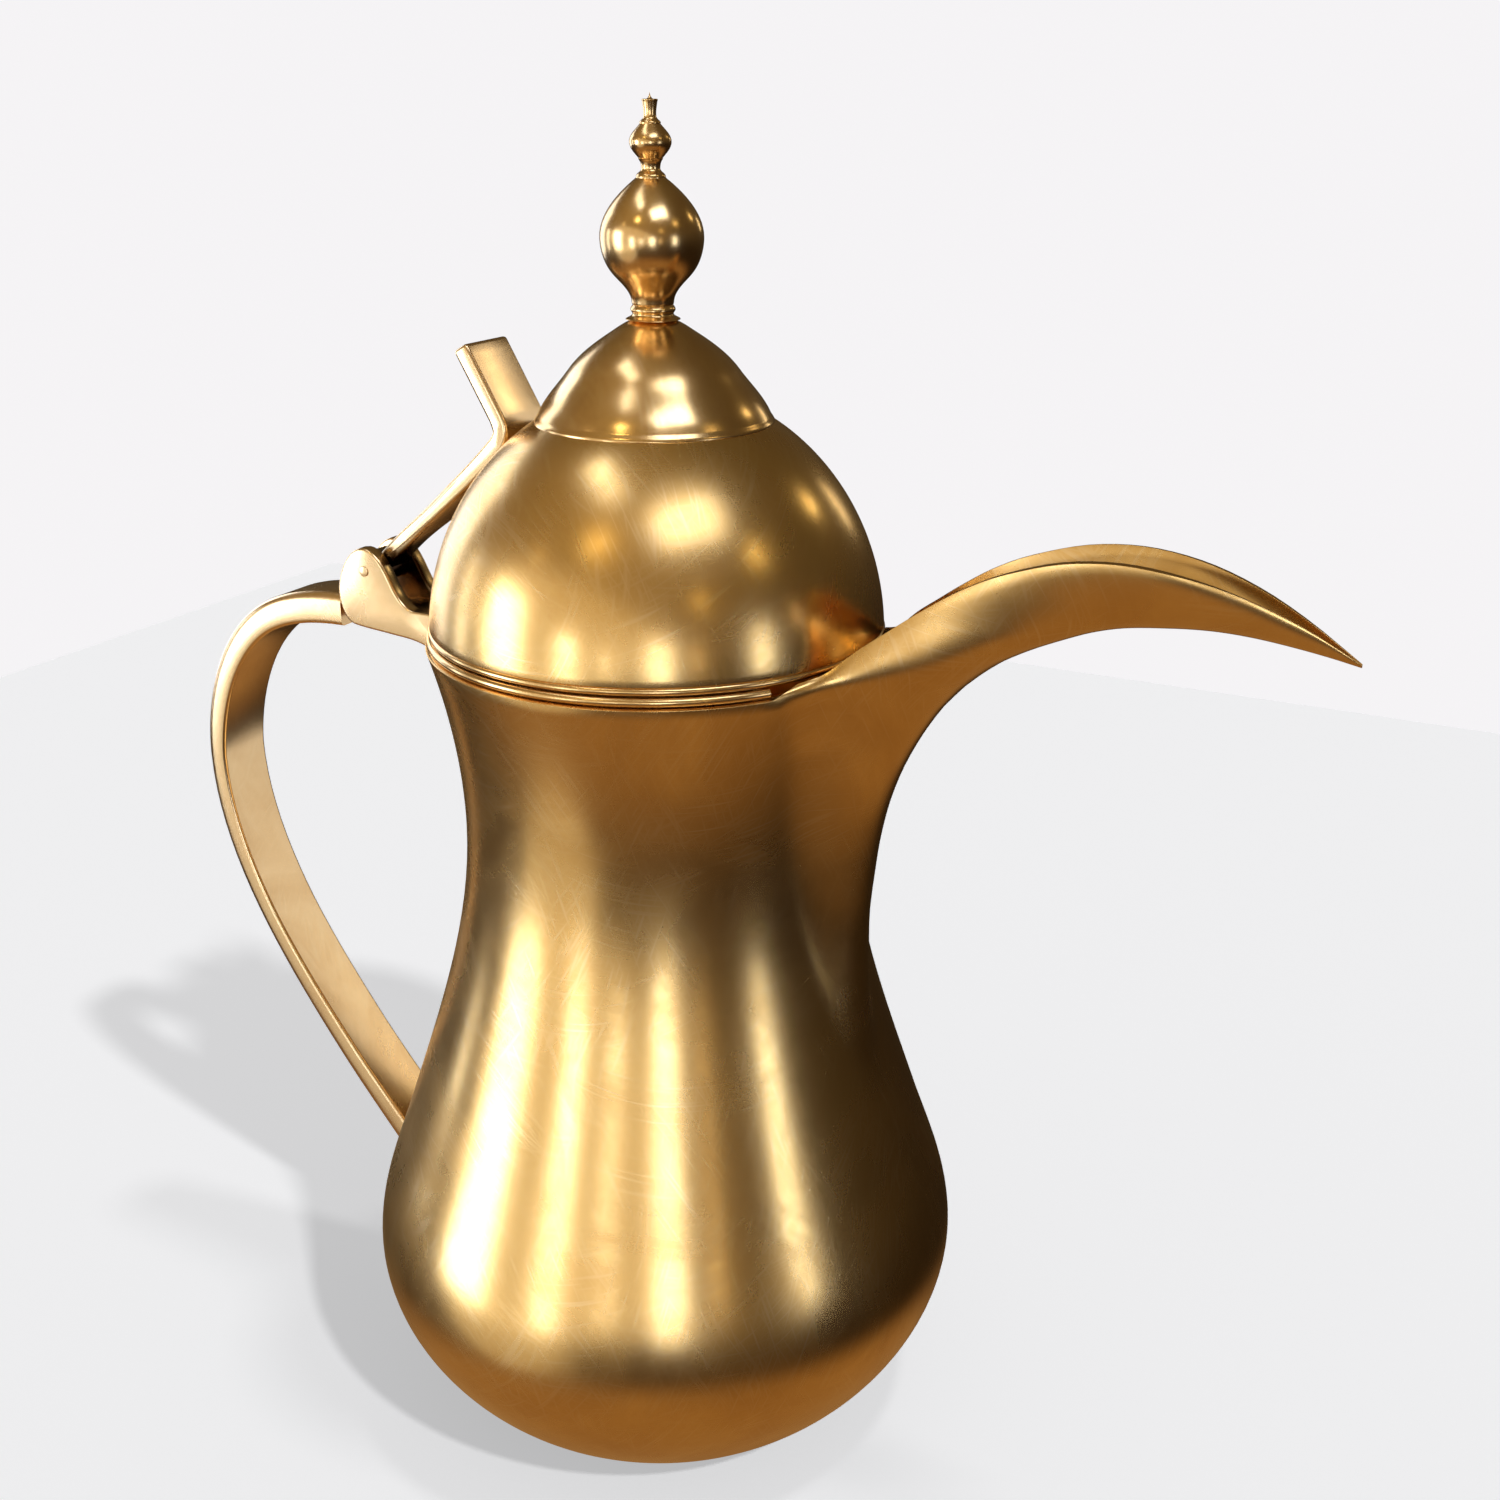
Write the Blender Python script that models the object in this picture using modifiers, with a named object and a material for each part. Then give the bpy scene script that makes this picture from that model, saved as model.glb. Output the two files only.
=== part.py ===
"""Dallah coffee pot: a waisted brass vessel with a beak spout, a strap handle and a hinged domed lid.

Metres, +Z up. The origin is the centre of the flat underside, +X points along the spout, and the
hinge and handle are on -X. XZ is the plane of symmetry.
"""

import math

import bmesh
import bpy
from mathutils import Matrix, Vector

# Fits
GAP = 0.0003  # between pieces that touch or are brazed together
PIN_PLAY = 0.0001  # radial clearance of the hinge pin and of the finial's rod

# Vessel
RIM_Z = 0.1846
RIM_R = 0.0484
WAIST_Z = 0.1434
WAIST_R = 0.0418
BELLY_Z = 0.0404
BELLY_R = 0.0668
FOOT_R = 0.0370
WALL = 0.0012
BASE_THICK = 0.0015
BEAD_R = 0.0008  # the wires at the mouth and at the lid's foot

# Spout
SPOUT_REACH = 0.1455  # tip, from the pot's axis
SPOUT_CREST = 0.0298  # highest point of the lips above the mouth
SPOUT_TIP_RISE = 0.0147
SPOUT_ROOT_DROP = 0.078  # where the keel leaves the body, below the mouth
SPOUT_MOUTH_HALF = 0.026  # half the width between the lips where they leave the mouth
SPOUT_HALF = 0.0074  # half the width of the beak
SPOUT_DEPTH = 0.0135  # depth of the beak at its crest
SPOUT_WALL = 0.0012
NOTCH_DROP = 0.040  # depth of the opening from the body into the spout

# Handle
STRAP_WIDTH = 0.0150
STRAP_THICK = 0.0055
STRAP_ROOT_SWELL = 0.0021  # extra thickness at its upper end
STRAP_FOOT_SWELL = 0.0015  # and at its lower end
HANDLE_REACH = 0.1267  # outermost face, from the pot's axis
HANDLE_DROP = 0.0466  # its height below the mouth
HANDLE_FOOT_DROP = 0.0081  # centre of the lower end, below the belly's widest ring

# Hinge
PIN_X = -0.0729
PIN_RISE = 0.0073  # pin above the mouth
PIN_R = 0.0012
CHEEK_THICK = 0.0035
BAR_HEIGHT = 0.0063
LOBE_R = 0.0080

# Lid
DOME_R = 0.0487
DOME_HEIGHT = 0.0528
DOME_RISE = 0.0009  # centre of the dome's ellipse above the mouth
DOME_WALL = 0.0011
COLLAR_PLAY = 0.0020  # between the lid's collar and the inside of the mouth
COLLAR_DROP = 0.0050
CROWN_R = 0.0248
CROWN_HEIGHT = 0.0212
CROWN_WALL = 0.0010
LEVER_THICK = 0.0039
TAB_WIDTH = 0.0155
TAB_RISE = 0.0594  # top of the thumb tab above the mouth
TAB_X = -0.0430

# Finial
ROD_R = 0.0010
NECK_R = 0.0043
BALL_R = 0.0105
BALL_HEIGHT = 0.0240
SPOOL_R = 0.0019
SMALL_BEAD_R = 0.0042
SMALL_BEAD_HEIGHT = 0.0066
VASE_R = 0.0015
NUT_R = 0.0034
NUT_HEIGHT = 0.0026

TURN_STEPS = 40
FINE_STEPS = 24

BRASS = (0.80, 0.58, 0.27)
PALE_BRASS = (0.87, 0.69, 0.44)


def material(name, colour, roughness):
    made = bpy.data.materials.new(name)
    made.use_nodes = True
    shader = made.node_tree.nodes["Principled BSDF"]
    shader.inputs["Base Color"].default_value = (*colour, 1)
    shader.inputs["Metallic"].default_value = 1
    shader.inputs["Roughness"].default_value = roughness
    return made


def add(name, mesh, finish=None, collection="dallah"):
    """An object in the named collection; one without a finish is a cutter."""
    made = bpy.data.objects.new(name, mesh)
    bpy.data.collections[collection].objects.link(made)
    if finish is None:
        made.hide_render = True
        made.display_type = "WIRE"
    else:
        mesh.materials.append(finish)
        mesh.shade_smooth()
        mesh.set_sharp_from_angle(angle=math.radians(35))
    return made


def bezier(knots, steps):
    """Points along a smooth line through knots of (x, z, heading in degrees)."""
    points = [knots[0][:2]]
    for (x0, z0, a0), (x1, z1, a1) in zip(knots, knots[1:]):
        reach = math.hypot(x1 - x0, z1 - z0)
        dx0, dz0 = reach * math.cos(math.radians(a0)), reach * math.sin(math.radians(a0))
        dx1, dz1 = reach * math.cos(math.radians(a1)), reach * math.sin(math.radians(a1))
        for i in range(1, steps + 1):
            t = i / steps
            a = 2 * t**3 - 3 * t**2 + 1
            b = t**3 - 2 * t**2 + t
            c = 3 * t**2 - 2 * t**3
            d = t**3 - t**2
            points.append((a * x0 + b * dx0 + c * x1 + d * dx1, a * z0 + b * dz0 + c * z1 + d * dz1))
    return points


def arc(x, z, radius, start, end, steps):
    """Points on a circle's arc, from the start angle to the end angle in degrees."""
    turns = [math.radians(start + (end - start) * i / steps) for i in range(steps + 1)]
    return [(x + radius * math.cos(a), z + radius * math.sin(a)) for a in turns]


def offset(points, distance):
    """A line moved sideways to the left of its direction."""
    moved = []
    for i, (x, z) in enumerate(points):
        x0, z0 = points[max(i - 1, 0)]
        x1, z1 = points[min(i + 1, len(points) - 1)]
        length = math.hypot(x1 - x0, z1 - z0)
        moved.append((x - distance * (z1 - z0) / length, z + distance * (x1 - x0) / length))
    return moved


def turned(name, outline, finish, wall=0, steps=TURN_STEPS, closed=False):
    """A profile at +X, running down its outer side, turned about Z."""
    mesh = bpy.data.meshes.new(name)
    edges = [(i, i + 1) for i in range(len(outline) - 1)]
    if closed:
        edges.append((len(outline) - 1, 0))
    mesh.from_pydata([(r, 0, z) for r, z in outline], edges, [])
    made = add(name, mesh, finish, "dallah" if finish else "cutters")
    screw = made.modifiers.new("turn", "SCREW")
    screw.axis = "Z"
    screw.steps = screw.render_steps = steps
    screw.use_merge_vertices = True
    screw.merge_threshold = 0.00001
    screw.use_smooth_shade = True
    if wall:
        shell = made.modifiers.new("wall", "SOLIDIFY")
        shell.thickness = wall
        shell.offset = -1
        shell.use_even_offset = True
    return made


def plate(name, outline, width, finish, rounding=0, y=0):
    """An outline in XZ given a width along Y, with its long edges rounded."""
    shape = bmesh.new()
    corners = [shape.verts.new((x, y - width / 2, z)) for x, z in outline]
    face = shape.faces.new(corners)
    grown = bmesh.ops.extrude_face_region(shape, geom=[face])
    side = [v for v in grown["geom"] if isinstance(v, bmesh.types.BMVert)]
    bmesh.ops.translate(shape, vec=(0, width, 0), verts=side)
    bmesh.ops.recalc_face_normals(shape, faces=shape.faces)
    mesh = bpy.data.meshes.new(name)
    shape.to_mesh(mesh)
    shape.free()
    made = add(name, mesh, finish, "dallah" if finish else "cutters")
    if rounding:
        bevel = made.modifiers.new("rounding", "BEVEL")
        bevel.width = rounding
        bevel.segments = 2
        bevel.limit_method = "ANGLE"
        bevel.angle_limit = math.radians(50)
    return made


def rod(name, radius, length, at, finish=None, steps=FINE_STEPS, upright=False):
    """A cylinder along Y, or along Z, centred at the given point."""
    shape = bmesh.new()
    bmesh.ops.create_cone(
        shape, cap_ends=True, segments=steps, radius1=radius, radius2=radius, depth=length
    )
    mesh = bpy.data.meshes.new(name)
    shape.to_mesh(mesh)
    shape.free()
    made = add(name, mesh, finish, "dallah" if finish else "cutters")
    made.location = at
    made.rotation_euler = (0, 0, 0) if upright else (math.radians(90), 0, 0)
    return made


def cut(target, *cutters):
    for cutter in cutters:
        boolean = target.modifiers.new("cut " + cutter.name, "BOOLEAN")
        boolean.operation = "DIFFERENCE"
        boolean.solver = "EXACT"
        boolean.object = cutter


def body_outline(steps=3):
    """The vessel's outer profile, from the mouth to the foot."""
    flare_r = WAIST_R + 0.68 * (BELLY_R - WAIST_R)
    flare_z = BELLY_Z + 0.293 * (WAIST_Z - BELLY_Z)
    heel_r = FOOT_R + 0.453 * (BELLY_R - FOOT_R)
    return bezier(
        [
            (RIM_R, RIM_Z, -107),
            (WAIST_R, WAIST_Z, -90),
            (flare_r, flare_z, -71.5),
            (BELLY_R, BELLY_Z, -90),
            (heel_r, 0.203 * BELLY_Z, -138),
            (FOOT_R + GAP, GAP, -168),
        ],
        steps,
    )


def radius_at(height):
    """The vessel's outer radius at a height."""
    outline = body_outline(12)
    for (r0, z0), (r1, z1) in zip(outline, outline[1:]):
        if z1 <= height <= z0:
            return r0 + (r1 - r0) * (height - z0) / (z1 - z0)
    return outline[0][0] if height > outline[0][1] else outline[-1][0]


def body_envelope():
    """A cutter that keeps brazed-on pieces just clear of the vessel, its bead and the closed lid."""
    above = RIM_R + BEAD_R + 3 * GAP
    under_bead = RIM_Z - 2 * BEAD_R
    skin = offset(body_outline(), GAP)
    (r0, z0), (r1, z1) = skin[:2]
    side = [(r0 + (r1 - r0) * (z0 - under_bead) / (z0 - z1), under_bead)]
    side += [(r, z) for r, z in skin if z < under_bead]
    lid_top = RIM_Z + 3 * SPOUT_CREST
    low = side[-1][1] - GAP
    outline = [(0, lid_top), (above, lid_top), (above, RIM_Z - BEAD_R), *side, (0, low)]
    return turned("body_envelope", outline, None)


def body_shell(finish):
    shell = turned("body_shell", body_outline(), finish, wall=WALL)
    inside = RIM_R / 2
    reach = RIM_R + 0.02
    half = 0.8 * SPOUT_MOUTH_HALF
    foot = RIM_Z - NOTCH_DROP + half
    across = [(half, RIM_Z + 0.01), *arc(0, foot, half, 0, -180, 8), (-half, RIM_Z + 0.01)]
    shape = bmesh.new()
    face = shape.faces.new([shape.verts.new((inside, y, z)) for y, z in across])
    grown = bmesh.ops.extrude_face_region(shape, geom=[face])
    moved = [v for v in grown["geom"] if isinstance(v, bmesh.types.BMVert)]
    bmesh.ops.translate(shape, vec=(reach - inside, 0, 0), verts=moved)
    bmesh.ops.recalc_face_normals(shape, faces=shape.faces)
    mesh = bpy.data.meshes.new("notch")
    shape.to_mesh(mesh)
    shape.free()
    cut(shell, add("notch", mesh, None, "cutters"))


def base_plate(finish):
    disc_r = FOOT_R - GAP
    turned("base_plate", [(0, BASE_THICK), (disc_r, BASE_THICK), (disc_r, 0), (0, 0)], finish)


def mouth_bead(finish):
    """The wire round the mouth, open where the spout leaves it."""
    opening = math.asin(SPOUT_MOUTH_HALF / RIM_R) + math.radians(3)
    count = 44
    line = bpy.data.curves.new("mouth_bead", "CURVE")
    line.dimensions = "3D"
    line.bevel_depth = BEAD_R
    line.bevel_resolution = 2
    line.use_fill_caps = True
    spline = line.splines.new("POLY")
    spline.points.add(count - 1)
    for i, point in enumerate(spline.points):
        turn = opening + (2 * math.pi - 2 * opening) * i / (count - 1)
        point.co = (RIM_R * math.cos(turn), RIM_R * math.sin(turn), RIM_Z + GAP + BEAD_R, 1)
    made = bpy.data.objects.new("mouth_bead", line)
    line.materials.append(finish)
    bpy.data.collections["dallah"].objects.link(made)


def through(knots, share):
    """Catmull-Rom reading of a list of equal-length tuples at a share from 0 to 1."""
    at = share * (len(knots) - 1)
    i = min(int(at), len(knots) - 2)
    t = at - i
    before, start, end, after = (
        knots[max(i - 1, 0)], knots[i], knots[i + 1], knots[min(i + 2, len(knots) - 1)]
    )
    return tuple(
        0.5 * (2 * b + (c - a) * t + (2 * a - 5 * b + 4 * c - d) * t**2 + (3 * b - a - 3 * c + d) * t**3)
        for a, b, c, d in zip(before, start, end, after)
    )


def spout_sections(stations=15, points=12):
    """Sections of the beak from root to tip, each a curved trough between its two lips."""
    root_x = RIM_R - 0.018
    span = SPOUT_REACH - root_x
    lip = [
        (root_x, SPOUT_MOUTH_HALF + 0.002, -0.001),
        (root_x + 0.100 * span, SPOUT_MOUTH_HALF - 0.002, 0.0004),
        (root_x + 0.198 * span, SPOUT_HALF + 0.0071, 0.28 * SPOUT_CREST),
        (root_x + 0.362 * span, SPOUT_HALF + 0.0010, 0.73 * SPOUT_CREST),
        (root_x + 0.480 * span, SPOUT_HALF, 0.94 * SPOUT_CREST),
        (root_x + 0.620 * span, SPOUT_HALF - 0.0002, SPOUT_CREST),
        (root_x + 0.760 * span, SPOUT_HALF - 0.0014, 0.93 * SPOUT_CREST),
        (root_x + 0.880 * span, 0.42 * SPOUT_HALF, 0.78 * SPOUT_CREST),
        (SPOUT_REACH, 0.0008, SPOUT_TIP_RISE + 0.0004),
    ]
    crest_keel = SPOUT_CREST - SPOUT_DEPTH
    root_r = radius_at(RIM_Z - SPOUT_ROOT_DROP)
    keel = [
        (root_r - 0.008, 0, -SPOUT_ROOT_DROP - 0.014),
        (root_r - 0.0005, 0, -SPOUT_ROOT_DROP + 0.006),
        (WAIST_R + 0.0080, 0, -0.0480),
        (WAIST_R + 0.0124, 0, -0.0235),
        (root_x + 0.362 * span, 0, 0.17 * crest_keel),
        (root_x + 0.480 * span, 0, 0.70 * crest_keel),
        (root_x + 0.660 * span, 0, 1.07 * crest_keel),
        (root_x + 0.850 * span, 0, 1.10 * crest_keel),
        (SPOUT_REACH, 0, SPOUT_TIP_RISE - 0.0006),
    ]
    sections = []
    for k in range(stations):
        share = k / (stations - 1)
        lip_x, half, lip_z = through(lip, share)
        keel_x, _, keel_z = through(keel, share)
        section = []
        for i in range(points + 1):
            turn = math.pi * i / points
            fall = math.sin(turn) ** 0.85
            section.append(
                Vector(
                    (
                        lip_x + (keel_x - lip_x) * fall,
                        -half * math.cos(turn),
                        RIM_Z + lip_z + (keel_z - lip_z) * fall,
                    )
                )
            )
        sections.append(section)
    return sections


def channel_sections(lift=0.004):
    """The trough's inside: its sections moved in by the wall, and carried up past the lips."""
    outside = spout_sections()
    count = len(outside[0])
    inside = []
    for k in range(len(outside) - 1):
        section = []
        wall = min(SPOUT_WALL, 0.7 * abs(outside[k][0].y))
        for i in range(count):
            along = outside[k + 1][i] - outside[max(k - 1, 0)][i]
            across = outside[k][min(i + 1, count - 1)] - outside[k][max(i - 1, 0)]
            section.append(outside[k][i] + wall * along.cross(across).normalized())
        up = Vector((0, 0, lift))
        inside.append([section[0] + up, *section, section[-1] + up])
    past_the_root = [point - Vector((lift, 0, 0)) for point in inside[0]]
    return [past_the_root, *inside]


def loft(name, sections, finish):
    """A closed solid through sections with the same number of points."""
    shape = bmesh.new()
    rings = [[shape.verts.new(p) for p in section] for section in sections]
    for ring, following in zip(rings, rings[1:]):
        for i in range(len(ring)):
            j = (i + 1) % len(ring)
            shape.faces.new((ring[i], ring[j], following[j], following[i]))
    shape.faces.new(rings[0])
    shape.faces.new(rings[-1])
    bmesh.ops.recalc_face_normals(shape, faces=shape.faces)
    mesh = bpy.data.meshes.new(name)
    shape.to_mesh(mesh)
    shape.free()
    return add(name, mesh, finish, "dallah" if finish else "cutters")


def spout(finish, envelope):
    beak = loft("spout", spout_sections(), finish)
    channel = loft("channel", channel_sections(), None)
    cut(beak, channel, envelope)


def handle_strap(finish, envelope):
    start_x = PIN_X - LOBE_R - GAP
    top_z = RIM_Z - 0.0020
    out_x = STRAP_THICK / 2 - HANDLE_REACH
    foot_z = BELLY_Z - HANDLE_FOOT_DROP
    foot_r = radius_at(foot_z)
    run = 0.040
    lean = math.radians(-52)
    centre = bezier(
        [
            (start_x, top_z, 180),
            (start_x - 0.58 * (start_x - out_x), top_z - 0.0062, 213),
            (out_x, RIM_Z - HANDLE_DROP, 270),
            (-foot_r - run * math.cos(lean) - 0.0006, foot_z - run * math.sin(lean), 306),
            (-foot_r + 0.004 * math.cos(lean), foot_z + 0.004 * math.sin(lean), 308),
        ],
        6,
    )
    outer = offset(centre, -STRAP_THICK / 2)
    inner = offset(centre, STRAP_THICK / 2)
    last = len(inner) - 1
    for i, (x, z) in enumerate(inner):
        root = max(0, 1 - (i / 12) ** 2)
        foot = max(0, 1 - (last - i) / 9)
        inner[i] = (x + 0.8 * STRAP_FOOT_SWELL * foot, z + 0.6 * STRAP_FOOT_SWELL * foot - STRAP_ROOT_SWELL * root)
    outline = outer + inner[::-1]
    cut(plate("handle_strap", outline, STRAP_WIDTH, finish, rounding=0.0016), envelope)


def hinge_bracket(finish, envelope):
    """A bar brazed between two cheeks that rise from the body and hold the pin."""
    pin_z = RIM_Z + PIN_RISE
    bar_top = RIM_Z - 0.0009
    bar_low = bar_top - BAR_HEIGHT
    left = PIN_X - LOBE_R
    buried = -RIM_R + 0.006
    outline = bezier(
        [
            (left, RIM_Z + 0.0009, 90),
            (PIN_X, pin_z + 0.0053, 0),
            (PIN_X + 0.0072, pin_z - 0.0019, -64),
            (PIN_X + 0.0135, bar_top, 0),
        ],
        5,
    )
    outline += [(buried, bar_top), (buried, bar_low - 0.0070)]
    outline += bezier(
        [
            (-RIM_R + 0.0010, bar_low - 0.0070, 125),
            (-RIM_R - 0.0090, bar_low - 0.0014, 160),
            (PIN_X + 0.0060, bar_low, 174),
            (PIN_X - 0.0040, bar_low + 0.0010, 170),
            (left, RIM_Z + 0.0009, 90),
        ],
        4,
    )[:-1]
    bore = rod("cheek_bores", PIN_R + PIN_PLAY, STRAP_WIDTH + 0.004, (PIN_X, 0, pin_z))
    middle = (STRAP_WIDTH - CHEEK_THICK) / 2
    for name, y in (("hinge_cheek_left", middle), ("hinge_cheek_right", -middle)):
        cut(plate(name, outline, CHEEK_THICK, finish, rounding=0.0007, y=y), bore, envelope)
    bar = plate("hinge_bar", outline, STRAP_WIDTH - 2 * CHEEK_THICK - 2 * GAP, finish)
    above_bar = [
        (left - 0.005, bar_top), (buried + 0.005, bar_top),
        (buried + 0.005, pin_z + 0.02), (left - 0.005, pin_z + 0.02),
    ]
    cut(bar, plate("above_bar", above_bar, STRAP_WIDTH, None), envelope)


def hinge_pin(finish):
    rod("hinge_pin", PIN_R, STRAP_WIDTH, (PIN_X, 0, RIM_Z + PIN_RISE), finish)


def dome_outline(grow=0, steps=8, foot=None, hole=ROD_R + PIN_PLAY):
    """The dome's profile from its top hole to its foot, an ellipse that a grown copy follows."""
    foot = RIM_Z + 4 * BEAD_R + 3 * GAP if foot is None else foot
    centre = RIM_Z + DOME_RISE
    high = math.acos(min(hole / (DOME_R + grow), 1))
    low = math.asin((foot - centre) / (DOME_HEIGHT + grow))
    turns = [high + (low - high) * i / steps for i in range(steps + 1)]
    return [
        ((DOME_R + grow) * math.cos(a), centre + (DOME_HEIGHT + grow) * math.sin(a)) for a in turns
    ]


def dome_height_at(radius):
    return RIM_Z + DOME_RISE + DOME_HEIGHT * math.sqrt(1 - (radius / DOME_R) ** 2)


def lid_dome(finish):
    turned("lid_dome", dome_outline(hole=ROD_R + 4 * PIN_PLAY), finish, wall=DOME_WALL)


def lid_bead(finish):
    """The wire under the dome's foot, which rests on the mouth bead."""
    ring = arc(DOME_R - BEAD_R, RIM_Z + 3 * BEAD_R + 2 * GAP, BEAD_R, 90, -225, 7)
    turned("lid_bead", ring, finish, closed=True)


def lid_collar(finish):
    """The sleeve that locates the lid in the mouth, flanged to the inside of the dome."""
    mouth_r = radius_at(RIM_Z - COLLAR_DROP) - WALL
    sleeve_r = mouth_r - COLLAR_PLAY
    flange_z = RIM_Z + 4 * BEAD_R + 5 * GAP
    flange_r = DOME_R - DOME_WALL - 4 * GAP
    inner_r = sleeve_r - DOME_WALL
    top = flange_z + DOME_WALL
    low = RIM_Z - COLLAR_DROP
    ring = [
        (flange_r, top), (flange_r, flange_z), (sleeve_r, flange_z),
        (sleeve_r, low), (inner_r, low), (inner_r, top),
    ]
    turned("lid_collar", ring, finish, closed=True)


def lid_crown(finish, dome_envelope):
    """The upper cone, seated on the dome."""
    foot = dome_height_at(CROWN_R) - GAP
    top = foot + CROWN_HEIGHT
    outline = bezier(
        [
            (ROD_R + 4 * PIN_PLAY, top, 0),
            (0.35 * CROWN_R, top - 0.13 * CROWN_HEIGHT, -33),
            (0.71 * CROWN_R, foot + 0.51 * CROWN_HEIGHT, -54),
            (CROWN_R - 0.0007, foot + 0.0016, -66),
            (CROWN_R, foot, -40),
        ],
        2,
    )
    cut(turned("lid_crown", outline, finish, wall=CROWN_WALL), dome_envelope)
    return top


def dome_envelope():
    """A cutter that keeps pieces brazed onto the dome just clear of it."""
    grown = dome_outline(GAP)
    return turned("dome_envelope", [(0, dome_height_at(0) + GAP), *grown[1:], (0, grown[-1][1])], None)


def lid_lever(finish, envelope):
    """The arm from the hinge to the dome, bent up into a thumb tab."""
    pin_z = RIM_Z + PIN_RISE
    elbow_r = 0.0342
    elbow_z = dome_height_at(elbow_r) + 0.0018
    centre = bezier(
        [
            (PIN_X + 0.002, pin_z + 0.001, 47),
            (-elbow_r - 0.0220, elbow_z - 0.0195, 37),
            (-elbow_r - 0.0010, elbow_z - 0.0010, 50),
        ],
        5,
    )
    corner = (-elbow_r + 0.0004, elbow_z + 0.0015)
    tab = [
        (TAB_X + (corner[0] - TAB_X) * (1 - i / 4), corner[1] + (RIM_Z + TAB_RISE - corner[1]) * i / 4)
        for i in range(1, 5)
    ]
    line = [*centre, corner, *tab]
    outline = offset(line, LEVER_THICK / 2) + offset(line, -LEVER_THICK / 2)[::-1]
    width = STRAP_WIDTH - 2 * CHEEK_THICK - 2 * GAP
    lever = plate("lid_lever", outline, width, finish, rounding=0.0008)
    clear_x = PIN_X + LOBE_R + 0.001
    for vertex in lever.data.vertices:
        share = min(max((vertex.co.x - clear_x) / (-elbow_r - clear_x), 0), 1)
        vertex.co.y *= 1 + share * (TAB_WIDTH / width - 1)
    knuckle = rod("knuckle", LEVER_THICK, width, (PIN_X, 0, pin_z))
    joined = lever.modifiers.new("knuckle", "BOOLEAN")
    joined.operation = "UNION"
    joined.solver = "EXACT"
    joined.object = knuckle
    bore = rod("lever_bore", PIN_R + PIN_PLAY, width + 0.004, (PIN_X, 0, pin_z))
    cut(lever, bore, envelope)


def bored(name, outline, finish, hole=ROD_R + PIN_PLAY):
    """A small turned piece with a hole for the rod."""
    ring = [*outline, (hole, outline[-1][1]), (hole, outline[0][1])]
    turned(name, ring, finish, steps=FINE_STEPS, closed=True)


def finial(finish, crown_top):
    """Turned pieces stacked on a rod, whose head is the vase and spike."""
    base_low = crown_top + GAP
    base_top = base_low + 0.0026
    flared = [(NECK_R, base_top), (NECK_R - 0.0002, base_low + 0.0010), (NECK_R + 0.0009, base_low)]
    bored("finial_base", flared, finish)

    ball_low = base_top + GAP
    ball_top = ball_low + BALL_HEIGHT
    ball = bezier(
        [
            (0.29 * BALL_R, ball_top, -38),
            (BALL_R, ball_low + 0.53 * BALL_HEIGHT, -90),
            (0.76 * BALL_R, ball_low + 0.23 * BALL_HEIGHT, -131),
            (NECK_R, ball_low, -92),
        ],
        4,
    )
    bored("finial_ball", ball, finish)

    spool_low = ball_top + GAP
    spool_top = spool_low + 0.0029
    spool = bezier(
        [
            (SPOOL_R + 0.0003, spool_top, -130),
            (SPOOL_R, spool_low + 0.0015, -90),
            (SPOOL_R + 0.0010, spool_low, -40),
        ],
        3,
    )
    bored("finial_spool", spool, finish)

    bead_low = spool_top + GAP
    bead_top = bead_low + SMALL_BEAD_HEIGHT
    bead = bezier(
        [
            (0.50 * SMALL_BEAD_R, bead_top, -50),
            (SMALL_BEAD_R, bead_low + 0.50 * SMALL_BEAD_HEIGHT, -90),
            (0.52 * SMALL_BEAD_R, bead_low, -130),
        ],
        4,
    )
    bored("finial_bead", bead, finish)

    head_low = bead_top + GAP
    head_top = head_low + 0.0042
    rod_low = RIM_Z + DOME_RISE + DOME_HEIGHT - DOME_WALL - 0.0062
    head = [
        (0, head_top + 0.0015), (0.0006, head_top), (VASE_R, head_top), (VASE_R - 0.0002, head_top - 0.001),
        (VASE_R - 0.0002, head_low + 0.0010), (VASE_R + 0.0005, head_low), (ROD_R, head_low),
        (ROD_R, rod_low), (0, rod_low),
    ]
    turned("finial_spindle", head, finish, steps=FINE_STEPS)

    washer_top = RIM_Z + DOME_RISE + DOME_HEIGHT - DOME_WALL - 2 * GAP
    washer_low = washer_top - 0.0010
    bored("rod_washer", [(NUT_R + 0.0012, washer_top), (NUT_R + 0.0012, washer_low)], finish)
    middle = (0, 0, washer_low - GAP - NUT_HEIGHT / 2)
    nut = rod("rod_nut", NUT_R, NUT_HEIGHT, middle, finish, steps=6, upright=True)
    cut(nut, rod("nut_bore", ROD_R + PIN_PLAY, 2 * NUT_HEIGHT, middle, upright=True))


def hang_on_pin(prefixes):
    """Everything that turns with the lid, held by an empty on the pin's axis."""
    axis = bpy.data.objects.new("lid_axis", None)
    axis.location = (PIN_X, 0, RIM_Z + PIN_RISE)
    bpy.context.scene.collection.objects.link(axis)
    for piece in bpy.data.collections["dallah"].objects:
        if piece.name.startswith(prefixes):
            piece.parent = axis
            piece.matrix_parent_inverse = Matrix.Translation(axis.location).inverted()


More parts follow.
